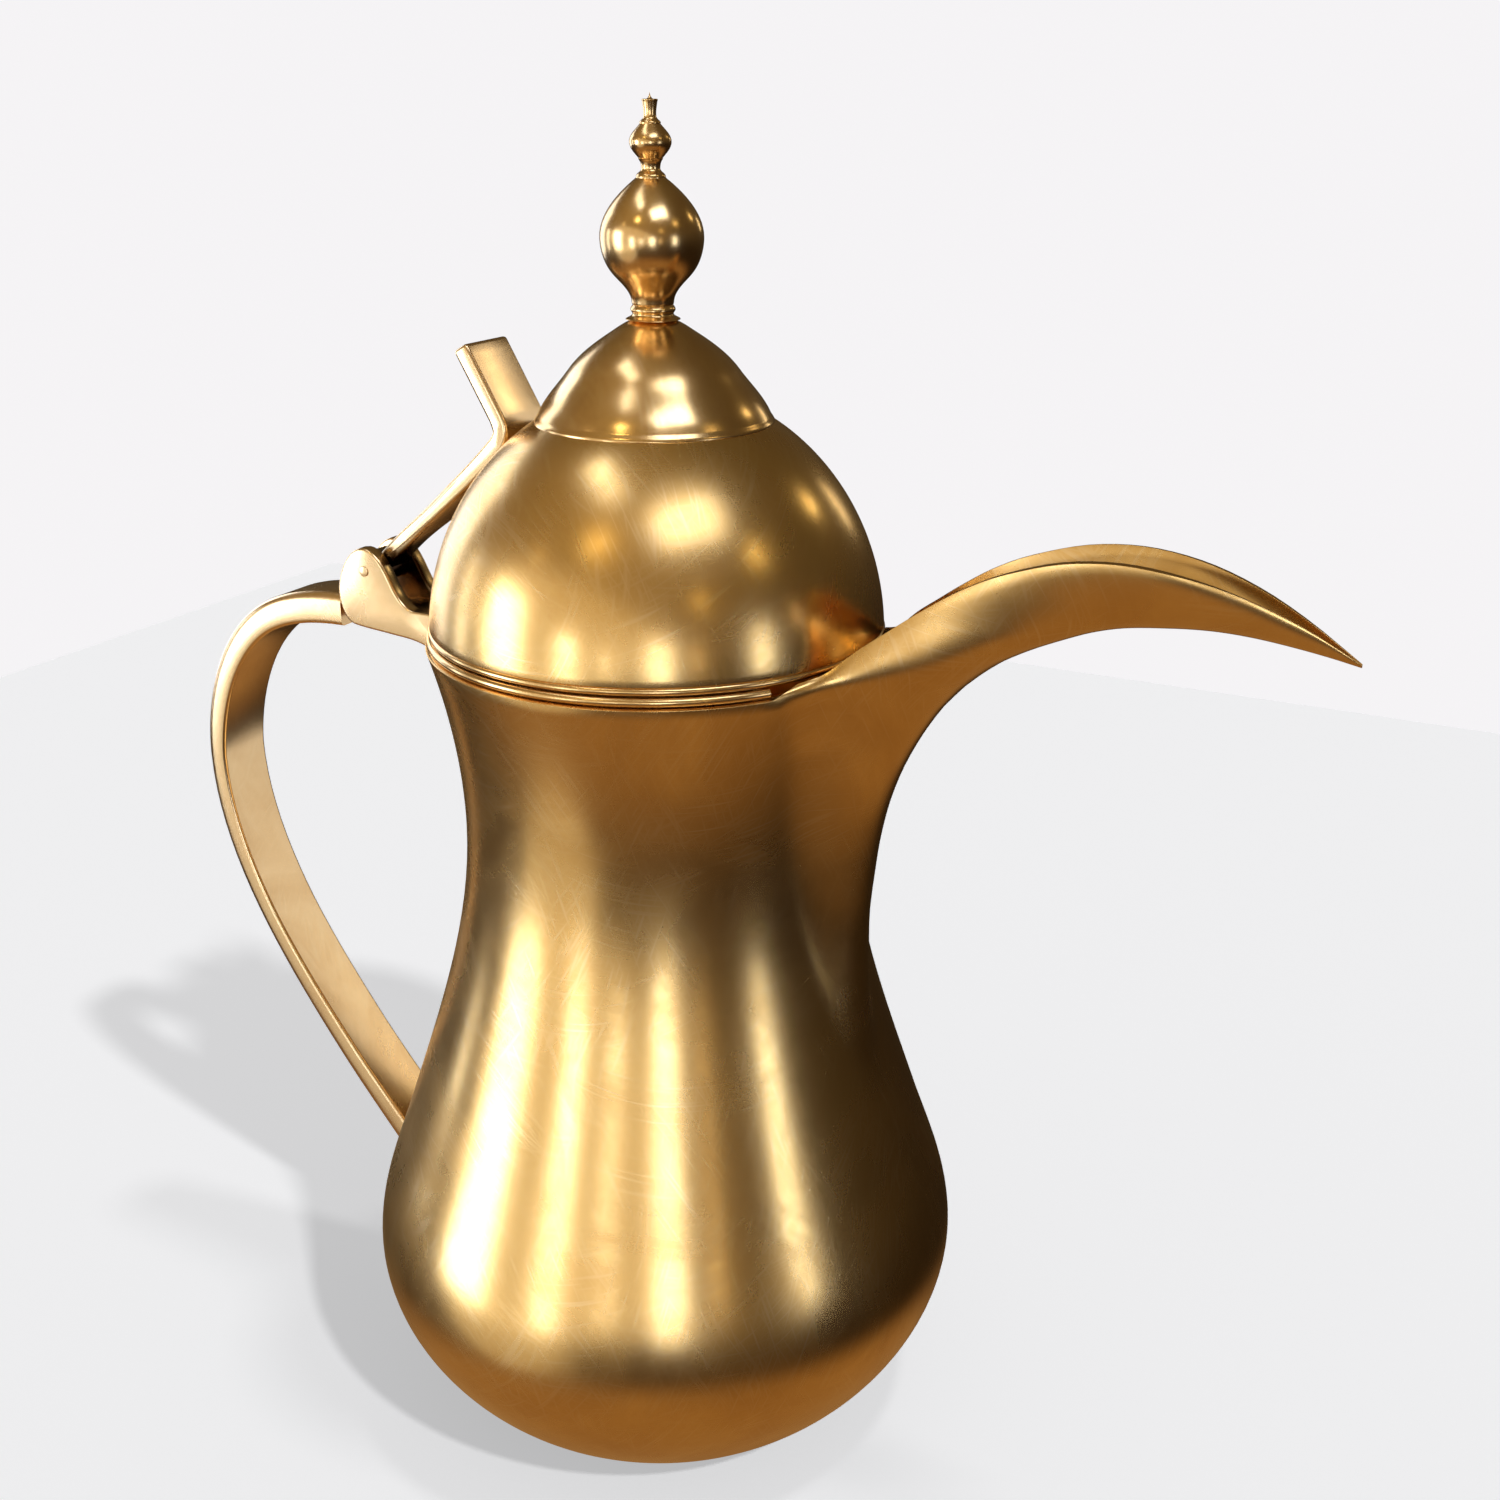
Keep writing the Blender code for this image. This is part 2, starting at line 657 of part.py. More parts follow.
def main():
    for old in list(bpy.data.objects):
        bpy.data.objects.remove(old)
    for name in ("dallah", "cutters"):
        bpy.context.scene.collection.children.link(bpy.data.collections.new(name))
    brass = material("brass", BRASS, 0.32)
    pale = material("pale_brass", PALE_BRASS, 0.25)
    polished = material("polished_brass", BRASS, 0.16)

    envelope = body_envelope()
    body_shell(brass)
    base_plate(brass)
    mouth_bead(polished)
    spout(brass, envelope)
    handle_strap(pale, envelope)
    hinge_bracket(pale, envelope)
    hinge_pin(pale)

    lid_dome(brass)
    lid_bead(polished)
    lid_collar(brass)
    dome_cutter = dome_envelope()
    crown_top = lid_crown(polished, dome_cutter)
    lid_lever(pale, dome_cutter)
    finial(polished, crown_top)
    hang_on_pin(("lid_", "finial_", "rod_"))


main()
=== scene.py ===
import math

import bpy
from mathutils import Matrix, Vector


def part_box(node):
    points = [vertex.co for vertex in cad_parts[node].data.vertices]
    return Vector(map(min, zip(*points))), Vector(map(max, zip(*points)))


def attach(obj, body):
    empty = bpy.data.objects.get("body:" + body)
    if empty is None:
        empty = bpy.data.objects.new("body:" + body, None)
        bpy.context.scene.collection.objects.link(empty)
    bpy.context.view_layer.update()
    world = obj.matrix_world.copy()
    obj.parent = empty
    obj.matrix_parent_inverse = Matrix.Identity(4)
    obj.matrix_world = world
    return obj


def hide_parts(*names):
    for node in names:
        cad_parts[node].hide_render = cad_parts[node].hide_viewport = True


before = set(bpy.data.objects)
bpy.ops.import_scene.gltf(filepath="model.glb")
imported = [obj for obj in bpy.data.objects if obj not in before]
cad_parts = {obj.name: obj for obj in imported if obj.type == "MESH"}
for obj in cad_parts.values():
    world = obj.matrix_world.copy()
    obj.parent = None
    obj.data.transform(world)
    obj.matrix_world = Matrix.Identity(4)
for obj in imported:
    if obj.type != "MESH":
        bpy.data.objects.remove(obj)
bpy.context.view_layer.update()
print("frame loaded:", len(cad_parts), "nodes")

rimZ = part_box("body_shell")[1].z
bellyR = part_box("body_shell")[1].y
pinLow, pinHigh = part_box("hinge_pin")
pinX = (pinLow.x + pinHigh.x) / 2
pinZ = (pinLow.z + pinHigh.z) / 2
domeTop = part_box("lid_dome")[1].z


def letGo():
    if bpy.context.object and bpy.context.object.mode != "OBJECT":
        bpy.ops.object.mode_set(mode="OBJECT")
    bpy.ops.object.select_all(action="DESELECT")


def smoothLine(knots, steps):
    # points along a line through knots of (x, z, heading in degrees)
    points = [knots[0][:2]]
    for (x0, z0, a0), (x1, z1, a1) in zip(knots, knots[1:]):
        reach = math.hypot(x1 - x0, z1 - z0)
        dx0, dz0 = reach * math.cos(math.radians(a0)), reach * math.sin(math.radians(a0))
        dx1, dz1 = reach * math.cos(math.radians(a1)), reach * math.sin(math.radians(a1))
        for i in range(1, steps + 1):
            t = i / steps
            a, b = 2 * t**3 - 3 * t**2 + 1, t**3 - 2 * t**2 + t
            c, d = 3 * t**2 - 2 * t**3, t**3 - t**2
            points.append((a * x0 + b * dx0 + c * x1 + d * dx1, a * z0 + b * dz0 + c * z1 + d * dz1))
    return points


def readCurve(table, at):
    # a smooth reading of rows that start with an increasing number
    if at <= table[0][0]:
        return list(table[0][1:])
    if at >= table[-1][0]:
        return list(table[-1][1:])
    i = max(k for k in range(len(table) - 1) if table[k][0] <= at)
    lo, hi = table[i], table[i + 1]
    before, after = table[max(i - 1, 0)], table[min(i + 2, len(table) - 1)]
    span = hi[0] - lo[0]
    t = (at - lo[0]) / span
    found = []
    for k in range(1, len(lo)):
        m0 = (hi[k] - before[k]) / (hi[0] - before[0]) * span
        m1 = (after[k] - lo[k]) / (after[0] - lo[0]) * span
        found.append(
            (2 * t**3 - 3 * t**2 + 1) * lo[k] + (t**3 - 2 * t**2 + t) * m0
            + (3 * t**2 - 2 * t**3) * hi[k] + (t**3 - t**2) * m1
        )
    return found


def useModifier(piece, kind, **settings):
    bpy.context.view_layer.objects.active = piece
    added = piece.modifiers.new(kind.lower(), kind)
    for key, value in settings.items():
        setattr(added, key, value)
    bpy.ops.object.modifier_apply(modifier=added.name)


def tidyMesh(piece, merge=0.00002):
    # merge doubles and turn the faces outwards
    letGo()
    piece.select_set(True)
    bpy.context.view_layer.objects.active = piece
    bpy.ops.object.mode_set(mode="EDIT")
    bpy.ops.mesh.select_all(action="SELECT")
    bpy.ops.mesh.remove_doubles(threshold=merge)
    bpy.ops.mesh.normals_make_consistent(inside=False)
    bpy.ops.object.mode_set(mode="OBJECT")
    widest = max(piece.data.polygons, key=lambda f: math.hypot(f.center.x, f.center.y))
    return widest.normal.x * widest.center.x + widest.normal.y * widest.center.y > 0


def flipFaces(piece):
    bpy.ops.object.mode_set(mode="EDIT")
    bpy.ops.mesh.select_all(action="SELECT")
    bpy.ops.mesh.flip_normals()
    bpy.ops.object.mode_set(mode="OBJECT")


def turnRings(name, profile, segments):
    # rings raised one from another, each sized about the upright axis
    letGo()
    tiny = 0.000008
    radius, height = max(profile[0][0], tiny), profile[0][1]
    bpy.ops.mesh.primitive_circle_add(vertices=segments, radius=radius, location=(0, 0, height))
    piece = bpy.context.object
    piece.name = name
    bpy.ops.object.mode_set(mode="EDIT")
    bpy.ops.mesh.select_all(action="SELECT")
    for r, z in profile[1:]:
        r = max(r, tiny)
        bpy.ops.mesh.extrude_edges_move(TRANSFORM_OT_translate={"value": (0, 0, z - height)})
        bpy.ops.transform.resize(value=(r / radius, r / radius, 1), center_override=(0, 0, z))
        radius, height = r, z
    bpy.ops.object.mode_set(mode="OBJECT")
    bpy.ops.object.transform_apply(location=True, rotation=True, scale=True)
    return piece


def turnPiece(name, profile, segments=128, wall=0.0, edge=0.0):
    piece = turnRings(name, profile, segments)
    if not tidyMesh(piece) and wall:
        flipFaces(piece)
    if wall:
        useModifier(piece, "SOLIDIFY", thickness=wall, offset=-1, use_even_offset=True)
    if edge:
        useModifier(
            piece, "BEVEL", width=edge, segments=3, limit_method="ANGLE", angle_limit=math.radians(40)
        )
    bpy.ops.object.shade_smooth_by_angle(angle=math.radians(40))
    return piece


def platePiece(name, outline, width, y=0.0, rounding=0.0005, widen=None):
    # a flat face round the outline, drawn out along Y and rounded
    letGo()
    bpy.ops.mesh.primitive_circle_add(vertices=len(outline), radius=0.01, fill_type="NGON")
    piece = bpy.context.object
    piece.name = name
    for vertex, (x, z) in zip(piece.data.vertices, outline):
        vertex.co = (x, y - width / 2, z)
    bpy.ops.object.mode_set(mode="EDIT")
    bpy.ops.mesh.select_all(action="SELECT")
    bpy.ops.mesh.extrude_region_move(TRANSFORM_OT_translate={"value": (0, width, 0)})
    bpy.ops.object.mode_set(mode="OBJECT")
    if widen:
        for vertex in piece.data.vertices:
            vertex.co.y *= widen(vertex.co.x)
    tidyMesh(piece)
    useModifier(
        piece, "BEVEL", width=rounding, segments=4, limit_method="ANGLE", angle_limit=math.radians(50)
    )
    bpy.ops.object.shade_smooth_by_angle(angle=math.radians(35))
    return piece


def dress(piece, body, slotName, finish, *nodes):
    piece.data.materials.clear()
    piece.data.materials.append(finish)
    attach(piece, body)
    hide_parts(*nodes)


def newGroup(name, inputs, outputs):
    group = bpy.data.node_groups.new(name, "ShaderNodeTree")
    for label, kind, value in inputs:
        socket = group.interface.new_socket(label, in_out="INPUT", socket_type=kind)
        if value is not None:
            socket.default_value = value
    for label, kind in outputs:
        group.interface.new_socket(label, in_out="OUTPUT", socket_type=kind)
    return group, group.nodes.new("NodeGroupInput"), group.nodes.new("NodeGroupOutput")


def addNode(tree, kind, links=(), **settings):
    # a node with its settings, its plain values and its links made in one go
    node = tree.nodes.new(kind)
    for key, value in settings.items():
        setattr(node, key, value)
    for key, value in links:
        if isinstance(value, bpy.types.NodeSocket):
            tree.links.new(value, node.inputs[key])
        else:
            node.inputs[key].default_value = value
    return node


def stretchedNoise(tree, vector, scale, turn, detail=2.0):
    moved = addNode(
        tree, "ShaderNodeMapping",
        [("Vector", vector), ("Rotation", turn), ("Scale", tuple(1 / size for size in scale))],
        vector_type="TEXTURE",
    )
    return addNode(
        tree, "ShaderNodeTexNoise",
        [("Vector", moved.outputs[0]), ("Scale", 1.0), ("Detail", detail), ("Roughness", 0.55)],
    ).outputs[0]


def makeBrushGroup():
    # rings left by the polishing wheel, and how they come and go
    group, start, end = newGroup(
        "brushLines",
        [("Vector", "NodeSocketVector", None), ("Fineness", "NodeSocketFloat", 1600.0)],
        [("Lines", "NodeSocketFloat")],
    )
    split = addNode(group, "ShaderNodeSeparateXYZ", [(0, start.outputs["Vector"])])
    fine = addNode(group, "ShaderNodeMath", [(0, split.outputs[2]), (1, start.outputs["Fineness"])],
                   operation="MULTIPLY")
    slowX = addNode(group, "ShaderNodeMath", [(0, split.outputs[0]), (1, 130.0)], operation="MULTIPLY")
    slowY = addNode(group, "ShaderNodeMath", [(0, split.outputs[1]), (1, 130.0)], operation="MULTIPLY")
    joined = addNode(group, "ShaderNodeCombineXYZ",
                     [(0, slowX.outputs[0]), (1, slowY.outputs[0]), (2, fine.outputs[0])])
    lines = addNode(group, "ShaderNodeTexNoise", [("Vector", joined.outputs[0]), ("Scale", 1.0),
                                                  ("Detail", 3.0)])
    fade = stretchedNoise(group, start.outputs["Vector"], (38, 38, 30), (0.4, 0.1, 0.7))
    kept = addNode(group, "ShaderNodeMapRange", [("Value", fade), ("From Min", 0.35), ("From Max", 0.65)])
    mixed = addNode(group, "ShaderNodeMath", [(0, lines.outputs[0]), (1, kept.outputs[0])],
                    operation="MULTIPLY")
    group.links.new(mixed.outputs[0], end.inputs["Lines"])
    return group


def makeScratchGroup():
    # fine scratches running several ways, thick in some places and absent in others
    group, start, end = newGroup(
        "fineScratches",
        [("Vector", "NodeSocketVector", None), ("Amount", "NodeSocketFloat", 1.0)],
        [("Scratches", "NodeSocketFloat")],
    )
    ways = [
        (0.5, 0.2, 0.3), (-0.7, 0.9, 0.1), (0.2, -0.6, 1.2), (1.1, 0.4, -0.8), (-0.3, 1.3, 0.5),
        (0.9, -1.1, 0.2),
    ]
    total = None
    for i, way in enumerate(ways):
        fine = stretchedNoise(group, start.outputs["Vector"], (60 + 12 * i, 80, 2600 - 130 * i), way, 0.0)
        patch = stretchedNoise(group, start.outputs["Vector"], (40, 46, 42), (i * 0.9, 0.3 * i, 0.5), 1.0)
        thin = addNode(group, "ShaderNodeMapRange", [("Value", fine), ("From Min", 0.60), ("From Max", 0.78)])
        here = addNode(group, "ShaderNodeMapRange", [("Value", patch), ("From Min", 0.38),
                                                     ("From Max", 0.68)])
        both = addNode(group, "ShaderNodeMath", [(0, thin.outputs[0]), (1, here.outputs[0])],
                       operation="MULTIPLY")
        if total is None:
            total = both.outputs[0]
        else:
            total = addNode(group, "ShaderNodeMath", [(0, total), (1, both.outputs[0])],
                            operation="MAXIMUM").outputs[0]
    scaled = addNode(group, "ShaderNodeMath", [(0, total), (1, start.outputs["Amount"])],
                     operation="MULTIPLY")
    group.links.new(scaled.outputs[0], end.inputs["Scratches"])
    return group


def makeTarnishGroup():
    # soft blotches where hands and cloths have dulled the metal
    group, start, end = newGroup(
        "softTarnish",
        [("Vector", "NodeSocketVector", None), ("Size", "NodeSocketFloat", 30.0)],
        [("Blotches", "NodeSocketFloat"), ("Specks", "NodeSocketFloat")],
    )
    wide = addNode(group, "ShaderNodeTexNoise",
                   [("Vector", start.outputs["Vector"]), ("Scale", start.outputs["Size"]),
                    ("Detail", 5.0), ("Roughness", 0.6), ("Distortion", 0.6)])
    even = addNode(group, "ShaderNodeMapRange", [("Value", wide.outputs[0]), ("From Min", 0.34),
                                                 ("From Max", 0.68)])
    small = addNode(group, "ShaderNodeTexNoise", [("Vector", start.outputs["Vector"]), ("Scale", 900.0),
                                                  ("Detail", 2.0)])
    specks = addNode(group, "ShaderNodeMapRange", [("Value", small.outputs[0]), ("From Min", 0.62),
                                                   ("From Max", 0.72)])
    group.links.new(even.outputs[0], end.inputs["Blotches"])
    group.links.new(specks.outputs[0], end.inputs["Specks"])
    return group


brushGroup, scratchGroup, tarnishGroup = makeBrushGroup(), makeScratchGroup(), makeTarnishGroup()


def makeBrass(name, look):
    finish = bpy.data.materials.new(name)
    finish.use_nodes = True
    tree = finish.node_tree
    shader = tree.nodes["Principled BSDF"]
    shader.inputs["Metallic"].default_value = 1.0
    place = addNode(tree, "ShaderNodeTexCoord").outputs["Object"]

    def group(of, *links):
        node = addNode(tree, "ShaderNodeGroup", node_tree=of)
        tree.links.new(place, node.inputs["Vector"])
        for key, value in links:
            node.inputs[key].default_value = value
        return node

    lines = group(brushGroup, ("Fineness", look["fineness"])).outputs["Lines"]
    scratches = group(scratchGroup, ("Amount", look["scratches"])).outputs["Scratches"]
    tarnish = group(tarnishGroup, ("Size", look["blotchSize"]))
    blotches, specks = tarnish.outputs["Blotches"], tarnish.outputs["Specks"]

    dull = addNode(tree, "ShaderNodeMix", [(0, blotches), (6, (*look["bright"], 1)), (7, (*look["dull"], 1))],
                   data_type="RGBA").outputs[2]
    marked = addNode(tree, "ShaderNodeMix", [(0, scratches), (6, dull), (7, (*look["scratchColour"], 1))],
                     data_type="RGBA").outputs[2]
    tree.links.new(marked, shader.inputs["Base Color"])

    if look["hingeShade"]:  # painted shade: a dark spot in the hinge slot, where shade falls
        x, y, z, reach = look["hingeShade"]
        across = 0.62 * reach  # the spot is narrower across the hinge
        spot = addNode(
            tree, "ShaderNodeMapping",
            [("Vector", place), ("Location", (-x / reach, -y / across, -z / reach)),
             ("Scale", (1 / reach, 1 / across, 1 / reach))],
        )
        away = addNode(tree, "ShaderNodeVectorMath", [(0, spot.outputs[0])], operation="LENGTH")
        unshaded = addNode(tree, "ShaderNodeMapRange", [("Value", away.outputs[1]), ("From Min", 0.62),
                                                     ("From Max", 1.0)])
        # painted shade: near-black brown laid over the base colour inside the spot
        dark = addNode(tree, "ShaderNodeMix", [(0, unshaded.outputs[0]), (6, (0.03, 0.012, 0.004, 1)),
                                               (7, marked)],
                       data_type="RGBA").outputs[2]
        tree.links.new(dark, shader.inputs["Base Color"])

    worn = addNode(tree, "ShaderNodeMapRange",
                   [("Value", blotches), ("To Min", look["rough"][0]),
                    ("To Max", look["rough"][1])]).outputs[0]
    lined = addNode(tree, "ShaderNodeMath", [(0, lines), (1, look["lineRough"]), (2, worn)],
                    operation="MULTIPLY_ADD").outputs[0]
    rough = addNode(tree, "ShaderNodeMath", [(0, scratches), (1, 0.05), (2, lined)],
                    operation="MULTIPLY_ADD", use_clamp=True).outputs[0]
    tree.links.new(rough, shader.inputs["Roughness"])

    cut = addNode(tree, "ShaderNodeMath", [(0, scratches), (1, -0.8), (2, lines)],
                  operation="MULTIPLY_ADD").outputs[0]
    height = addNode(tree, "ShaderNodeMath", [(0, specks), (1, -0.25), (2, cut)],
                     operation="MULTIPLY_ADD").outputs[0]
    bump = addNode(tree, "ShaderNodeBump", [("Strength", look["relief"]), ("Distance", 0.0002),
                                            ("Height", height)])
    tree.links.new(bump.outputs[0], shader.inputs["Normal"])

    return finish


satinLook = {
    "bright": (0.85, 0.565, 0.225), "dull": (0.69, 0.415, 0.14), "scratchColour": (0.95, 0.75, 0.46),
    "rough": (0.21, 0.31), "lineRough": 0.03, "fineness": 6500.0, "scratches": 0.26,
    "blotchSize": 34.0, "relief": 0.006, "hingeShade": None,
}
paleLook = {
    "bright": (0.90, 0.66, 0.38), "dull": (0.80, 0.55, 0.29), "scratchColour": (0.95, 0.78, 0.52),
    "rough": (0.19, 0.27), "lineRough": 0.03, "fineness": 900.0, "scratches": 0.2,
    "blotchSize": 48.0, "relief": 0.008,
    "hingeShade": (pinX + 0.0075, 0, pinZ - 0.001, 0.0118),  # middle and reach of the painted shade spot in the hinge
}
polishedLook = {
    "bright": (0.85, 0.58, 0.27), "dull": (0.70, 0.44, 0.18), "scratchColour": (0.93, 0.74, 0.45),
    "rough": (0.17, 0.25), "lineRough": 0.03, "fineness": 2200.0, "scratches": 0.2,
    "blotchSize": 70.0, "relief": 0.008, "hingeShade": None,
}
satinBrass = makeBrass("satinBrass", satinLook)
paleBrass = makeBrass("paleBrass", paleLook)
polishedBrass = makeBrass("polishedBrass", polishedLook)
print("finishes ready")


vessel = {
    "rimR": 0.0484, "waistR": 0.0418, "waistZ": 0.1434, "bellyZ": 0.0404,
    "flareR": 0.0588, "flareZ": 0.0706, "heelR": 0.0505, "heelZ": 0.0082, "footR": 0.0373, "footZ": 0.0003,
    "segments": 160, "wall": 0.0013, "edge": 0.0004,
}
# the spout's swelling up the front: height from the mouth, how far it stands out, half its angle, sharpness
ridge = {
    "rows": [
        (-0.0960, 0.0000, 6.0, 2.0), (-0.0880, 0.0007, 9.0, 2.0), (-0.0780, 0.0025, 13.0, 2.2),
        (-0.0680, 0.0045, 17.0, 2.5), (-0.0564, 0.0065, 20.5, 2.8), (-0.0468, 0.0083, 23.5, 3.0),
        (-0.0374, 0.0096, 26.0, 3.2), (-0.0280, 0.0111, 28.5, 3.6), (-0.0184, 0.0134, 30.5, 4.1),
        (-0.0058, 0.0179, 33.0, 4.8), (0.0, 0.0212, 33.75, 5.0),
    ],
}
beak = {  # share of the way, lip x, lip half width, lip height, keel x, keel height
    "rows": [
        (0.00, 0.0402, 0.0269, 0.0000, 0.0696, 0.0000),
        (0.05, 0.0440, 0.0212, 0.0009, 0.0735, 0.0035),
        (0.11, 0.0482, 0.0176, 0.0034, 0.0782, 0.0070),
        (0.18, 0.0532, 0.0145, 0.0079, 0.0838, 0.0101),
        (0.26, 0.0591, 0.0121, 0.0124, 0.0896, 0.0127),
        (0.34, 0.0652, 0.0102, 0.0169, 0.0950, 0.0149),
        (0.42, 0.0721, 0.0088, 0.0214, 0.1006, 0.0165),
        (0.50, 0.0802, 0.0078, 0.0253, 0.1063, 0.0174),
        (0.59, 0.0911, 0.0074, 0.0287, 0.1128, 0.0180),
        (0.68, 0.1020, 0.0071, 0.0298, 0.1195, 0.0181),
        (0.77, 0.1130, 0.0063, 0.0286, 0.1264, 0.0176),
        (0.86, 0.1242, 0.0045, 0.0254, 0.1334, 0.0166),
        (0.94, 0.1352, 0.0021, 0.0205, 0.1400, 0.0154),
        (1.00, 0.1453, 0.0002, 0.0146, 0.1454, 0.0142),
    ],
    "steps": 44, "sideCurve": 1.5, "keelCurve": 0.75, "wallEnd": 0.10, "blend": 0.42, "soften": 8,
    "softenUnder": 0.012, "softenOver": 0.016, "softenTurn": (6, 31), "softenX": (0.042, 0.085),
    "thinFrom": 0.110, "thinOver": 0.0353, "thinBy": 0.85,
}

outline = smoothLine(
    [
        (vessel["footR"], vessel["footZ"], 12),
        (vessel["heelR"], vessel["heelZ"], 42),
        (bellyR, vessel["bellyZ"], 90),
        (vessel["flareR"], vessel["flareZ"], 108.5),
        (vessel["waistR"], vessel["waistZ"], 90),
        (vessel["rimR"], rimZ, 73),
    ],
    16,
)
pot = turnRings("potAndSpout", outline, vessel["segments"])
for vertex in pot.data.vertices:
    turn = math.degrees(math.atan2(vertex.co.y, vertex.co.x))
    standOut, half, sharp = readCurve(ridge["rows"], vertex.co.z - rimZ)
    if abs(turn) < half and vertex.co.z - rimZ > ridge["rows"][0][0]:
        grown = 1 + standOut * (1 - (turn / half) ** 2) ** sharp / math.hypot(vertex.co.x, vertex.co.y)
        vertex.co.x *= grown
        vertex.co.y *= grown

mouthHalf = ridge["rows"][-1][2] + 0.1
bpy.ops.object.mode_set(mode="EDIT")
bpy.ops.mesh.select_mode(type="VERT")
bpy.ops.mesh.select_all(action="DESELECT")
bpy.ops.object.mode_set(mode="OBJECT")
for vertex in pot.data.vertices:
    turn = math.degrees(math.atan2(vertex.co.y, vertex.co.x))
    vertex.select = abs(vertex.co.z - rimZ) < 0.00001 and abs(turn) < mouthHalf
mouth = sorted((v for v in pot.data.vertices if v.select), key=lambda v: v.co.y)
lip = {mouth[0].index, mouth[-1].index}
across = [v.co.y / mouth[-1].co.y for v in mouth]
plan = sorted((abs(v.co.y), v.co.x) for v in mouth if v.co.y >= -0.00001)
for k in range(1, beak["steps"] + 1):
    share = k / beak["steps"]
    lipX, lipHalf, lipZ, keelX, keelZ = readCurve(beak["rows"], share)
    bpy.ops.object.mode_set(mode="EDIT")
    bpy.ops.mesh.extrude_edges_move(TRANSFORM_OT_translate={"value": (0.001, 0, 0.001)})
    bpy.ops.object.mode_set(mode="OBJECT")
    row = sorted((v for v in pot.data.vertices if v.select), key=lambda v: v.co.y)
    blend = min(max((share - beak["wallEnd"]) / beak["blend"], 0), 1)
    blend = blend * blend * (3 - 2 * blend)
    near, far = readCurve(plan, lipHalf)[0], plan[0][1]
    lip |= {row[0].index, row[-1].index}
    for vertex, side in zip(row, across):
        curved = (1 - min(abs(side), 1) ** beak["sideCurve"]) ** beak["keelCurve"]
        deep = (readCurve(plan, lipHalf * abs(side))[0] - near) / (far - near)
        fall = deep + (curved - deep) * blend
        vertex.co = (lipX + (keelX - lipX) * fall, lipHalf * side, rimZ + lipZ + (keelZ - lipZ) * fall)
bpy.ops.object.mode_set(mode="EDIT")
bpy.ops.mesh.select_all(action="DESELECT")
bpy.ops.object.mode_set(mode="OBJECT")
for vertex in pot.data.vertices:  # ease the line where the spout leaves the mouth
    turn = math.degrees(math.atan2(vertex.co.y, vertex.co.x))
    level = -beak["softenUnder"] < vertex.co.z - rimZ < beak["softenOver"]
    sideways = beak["softenTurn"][0] < abs(turn) < beak["softenTurn"][1]
    forward = beak["softenX"][0] < vertex.co.x < beak["softenX"][1]
    vertex.select = level and sideways and forward and vertex.index not in lip
bpy.ops.object.mode_set(mode="EDIT")
bpy.ops.mesh.vertices_smooth(factor=0.5, repeat=beak["soften"])
bpy.ops.object.mode_set(mode="OBJECT")
thinning = pot.vertex_groups.new(name="wall")
for vertex in pot.data.vertices:
    tipShare = (vertex.co.x - beak["thinFrom"]) / beak["thinOver"]
    thinning.add([vertex.index], 1 - beak["thinBy"] * min(max(tipShare, 0), 1), "REPLACE")
if not tidyMesh(pot):
    flipFaces(pot)
useModifier(
    pot, "SOLIDIFY", thickness=vessel["wall"], offset=-1, use_even_offset=False,
    vertex_group="wall", thickness_vertex_group=0.05,
)
useModifier(pot, "BEVEL", width=vessel["edge"], segments=2, limit_method="ANGLE",
            angle_limit=math.radians(60))
bpy.ops.object.shade_smooth_by_angle(angle=math.radians(50))
dress(pot, "pot", "satin_brass", satinBrass, "body_shell", "spout")
print("vessel and spout:", len(pot.data.polygons), "faces")

base = {"radius": 0.0371, "thick": 0.0016, "dish": 0.0010}
foot = turnPiece(
    "footDisc",
    [(0, base["thick"]), (base["radius"], base["thick"]), (base["radius"], 0.0003),
     (base["radius"] - 0.0004, 0), (base["radius"] - 0.004, 0), (base["radius"] - 0.0065, base["dish"] * 0.6),
     (base["radius"] - 0.012, base["dish"]), (0, base["dish"])],
    96,
)
dress(foot, "pot", "satin_brass", satinBrass, "base_plate")


wire = {
    "mouthR": 0.0484, "mouthZ": 0.00105, "mouthThick": 0.00095, "openTurn": 33.5,
    "lidR": 0.0480, "lidZ": 0.00305, "lidThick": 0.00085,
}
letGo()
bpy.ops.mesh.primitive_torus_add(
    location=(0, 0, rimZ + wire["mouthZ"]), major_radius=wire["mouthR"], minor_radius=wire["mouthThick"],
    major_segments=180, minor_segments=12,
)
mouthWire = bpy.context.object
mouthWire.name = "mouthWire"
bpy.ops.object.transform_apply(location=True)
bpy.ops.object.mode_set(mode="EDIT")
bpy.ops.mesh.select_all(action="DESELECT")
bpy.ops.object.mode_set(mode="OBJECT")
for vertex in mouthWire.data.vertices:
    vertex.select = abs(math.degrees(math.atan2(vertex.co.y, vertex.co.x))) < wire["openTurn"]
bpy.ops.object.mode_set(mode="EDIT")
bpy.ops.mesh.delete(type="VERT")
bpy.ops.mesh.select_all(action="SELECT")
bpy.ops.mesh.fill_holes(sides=0)
bpy.ops.object.mode_set(mode="OBJECT")
tidyMesh(mouthWire)
bpy.ops.object.shade_smooth_by_angle(angle=math.radians(40))
dress(mouthWire, "pot", "polished_brass", polishedBrass, "mouth_bead")

letGo()
bpy.ops.mesh.primitive_torus_add(
    location=(0, 0, rimZ + wire["lidZ"]), major_radius=wire["lidR"], minor_radius=wire["lidThick"],
    major_segments=180, minor_segments=12,
)
lidWire = bpy.context.object
lidWire.name = "lidWire"
bpy.ops.object.transform_apply(location=True)
bpy.ops.object.shade_smooth()
dress(lidWire, "lid", "polished_brass", polishedBrass, "lid_bead")
print("wires ready")


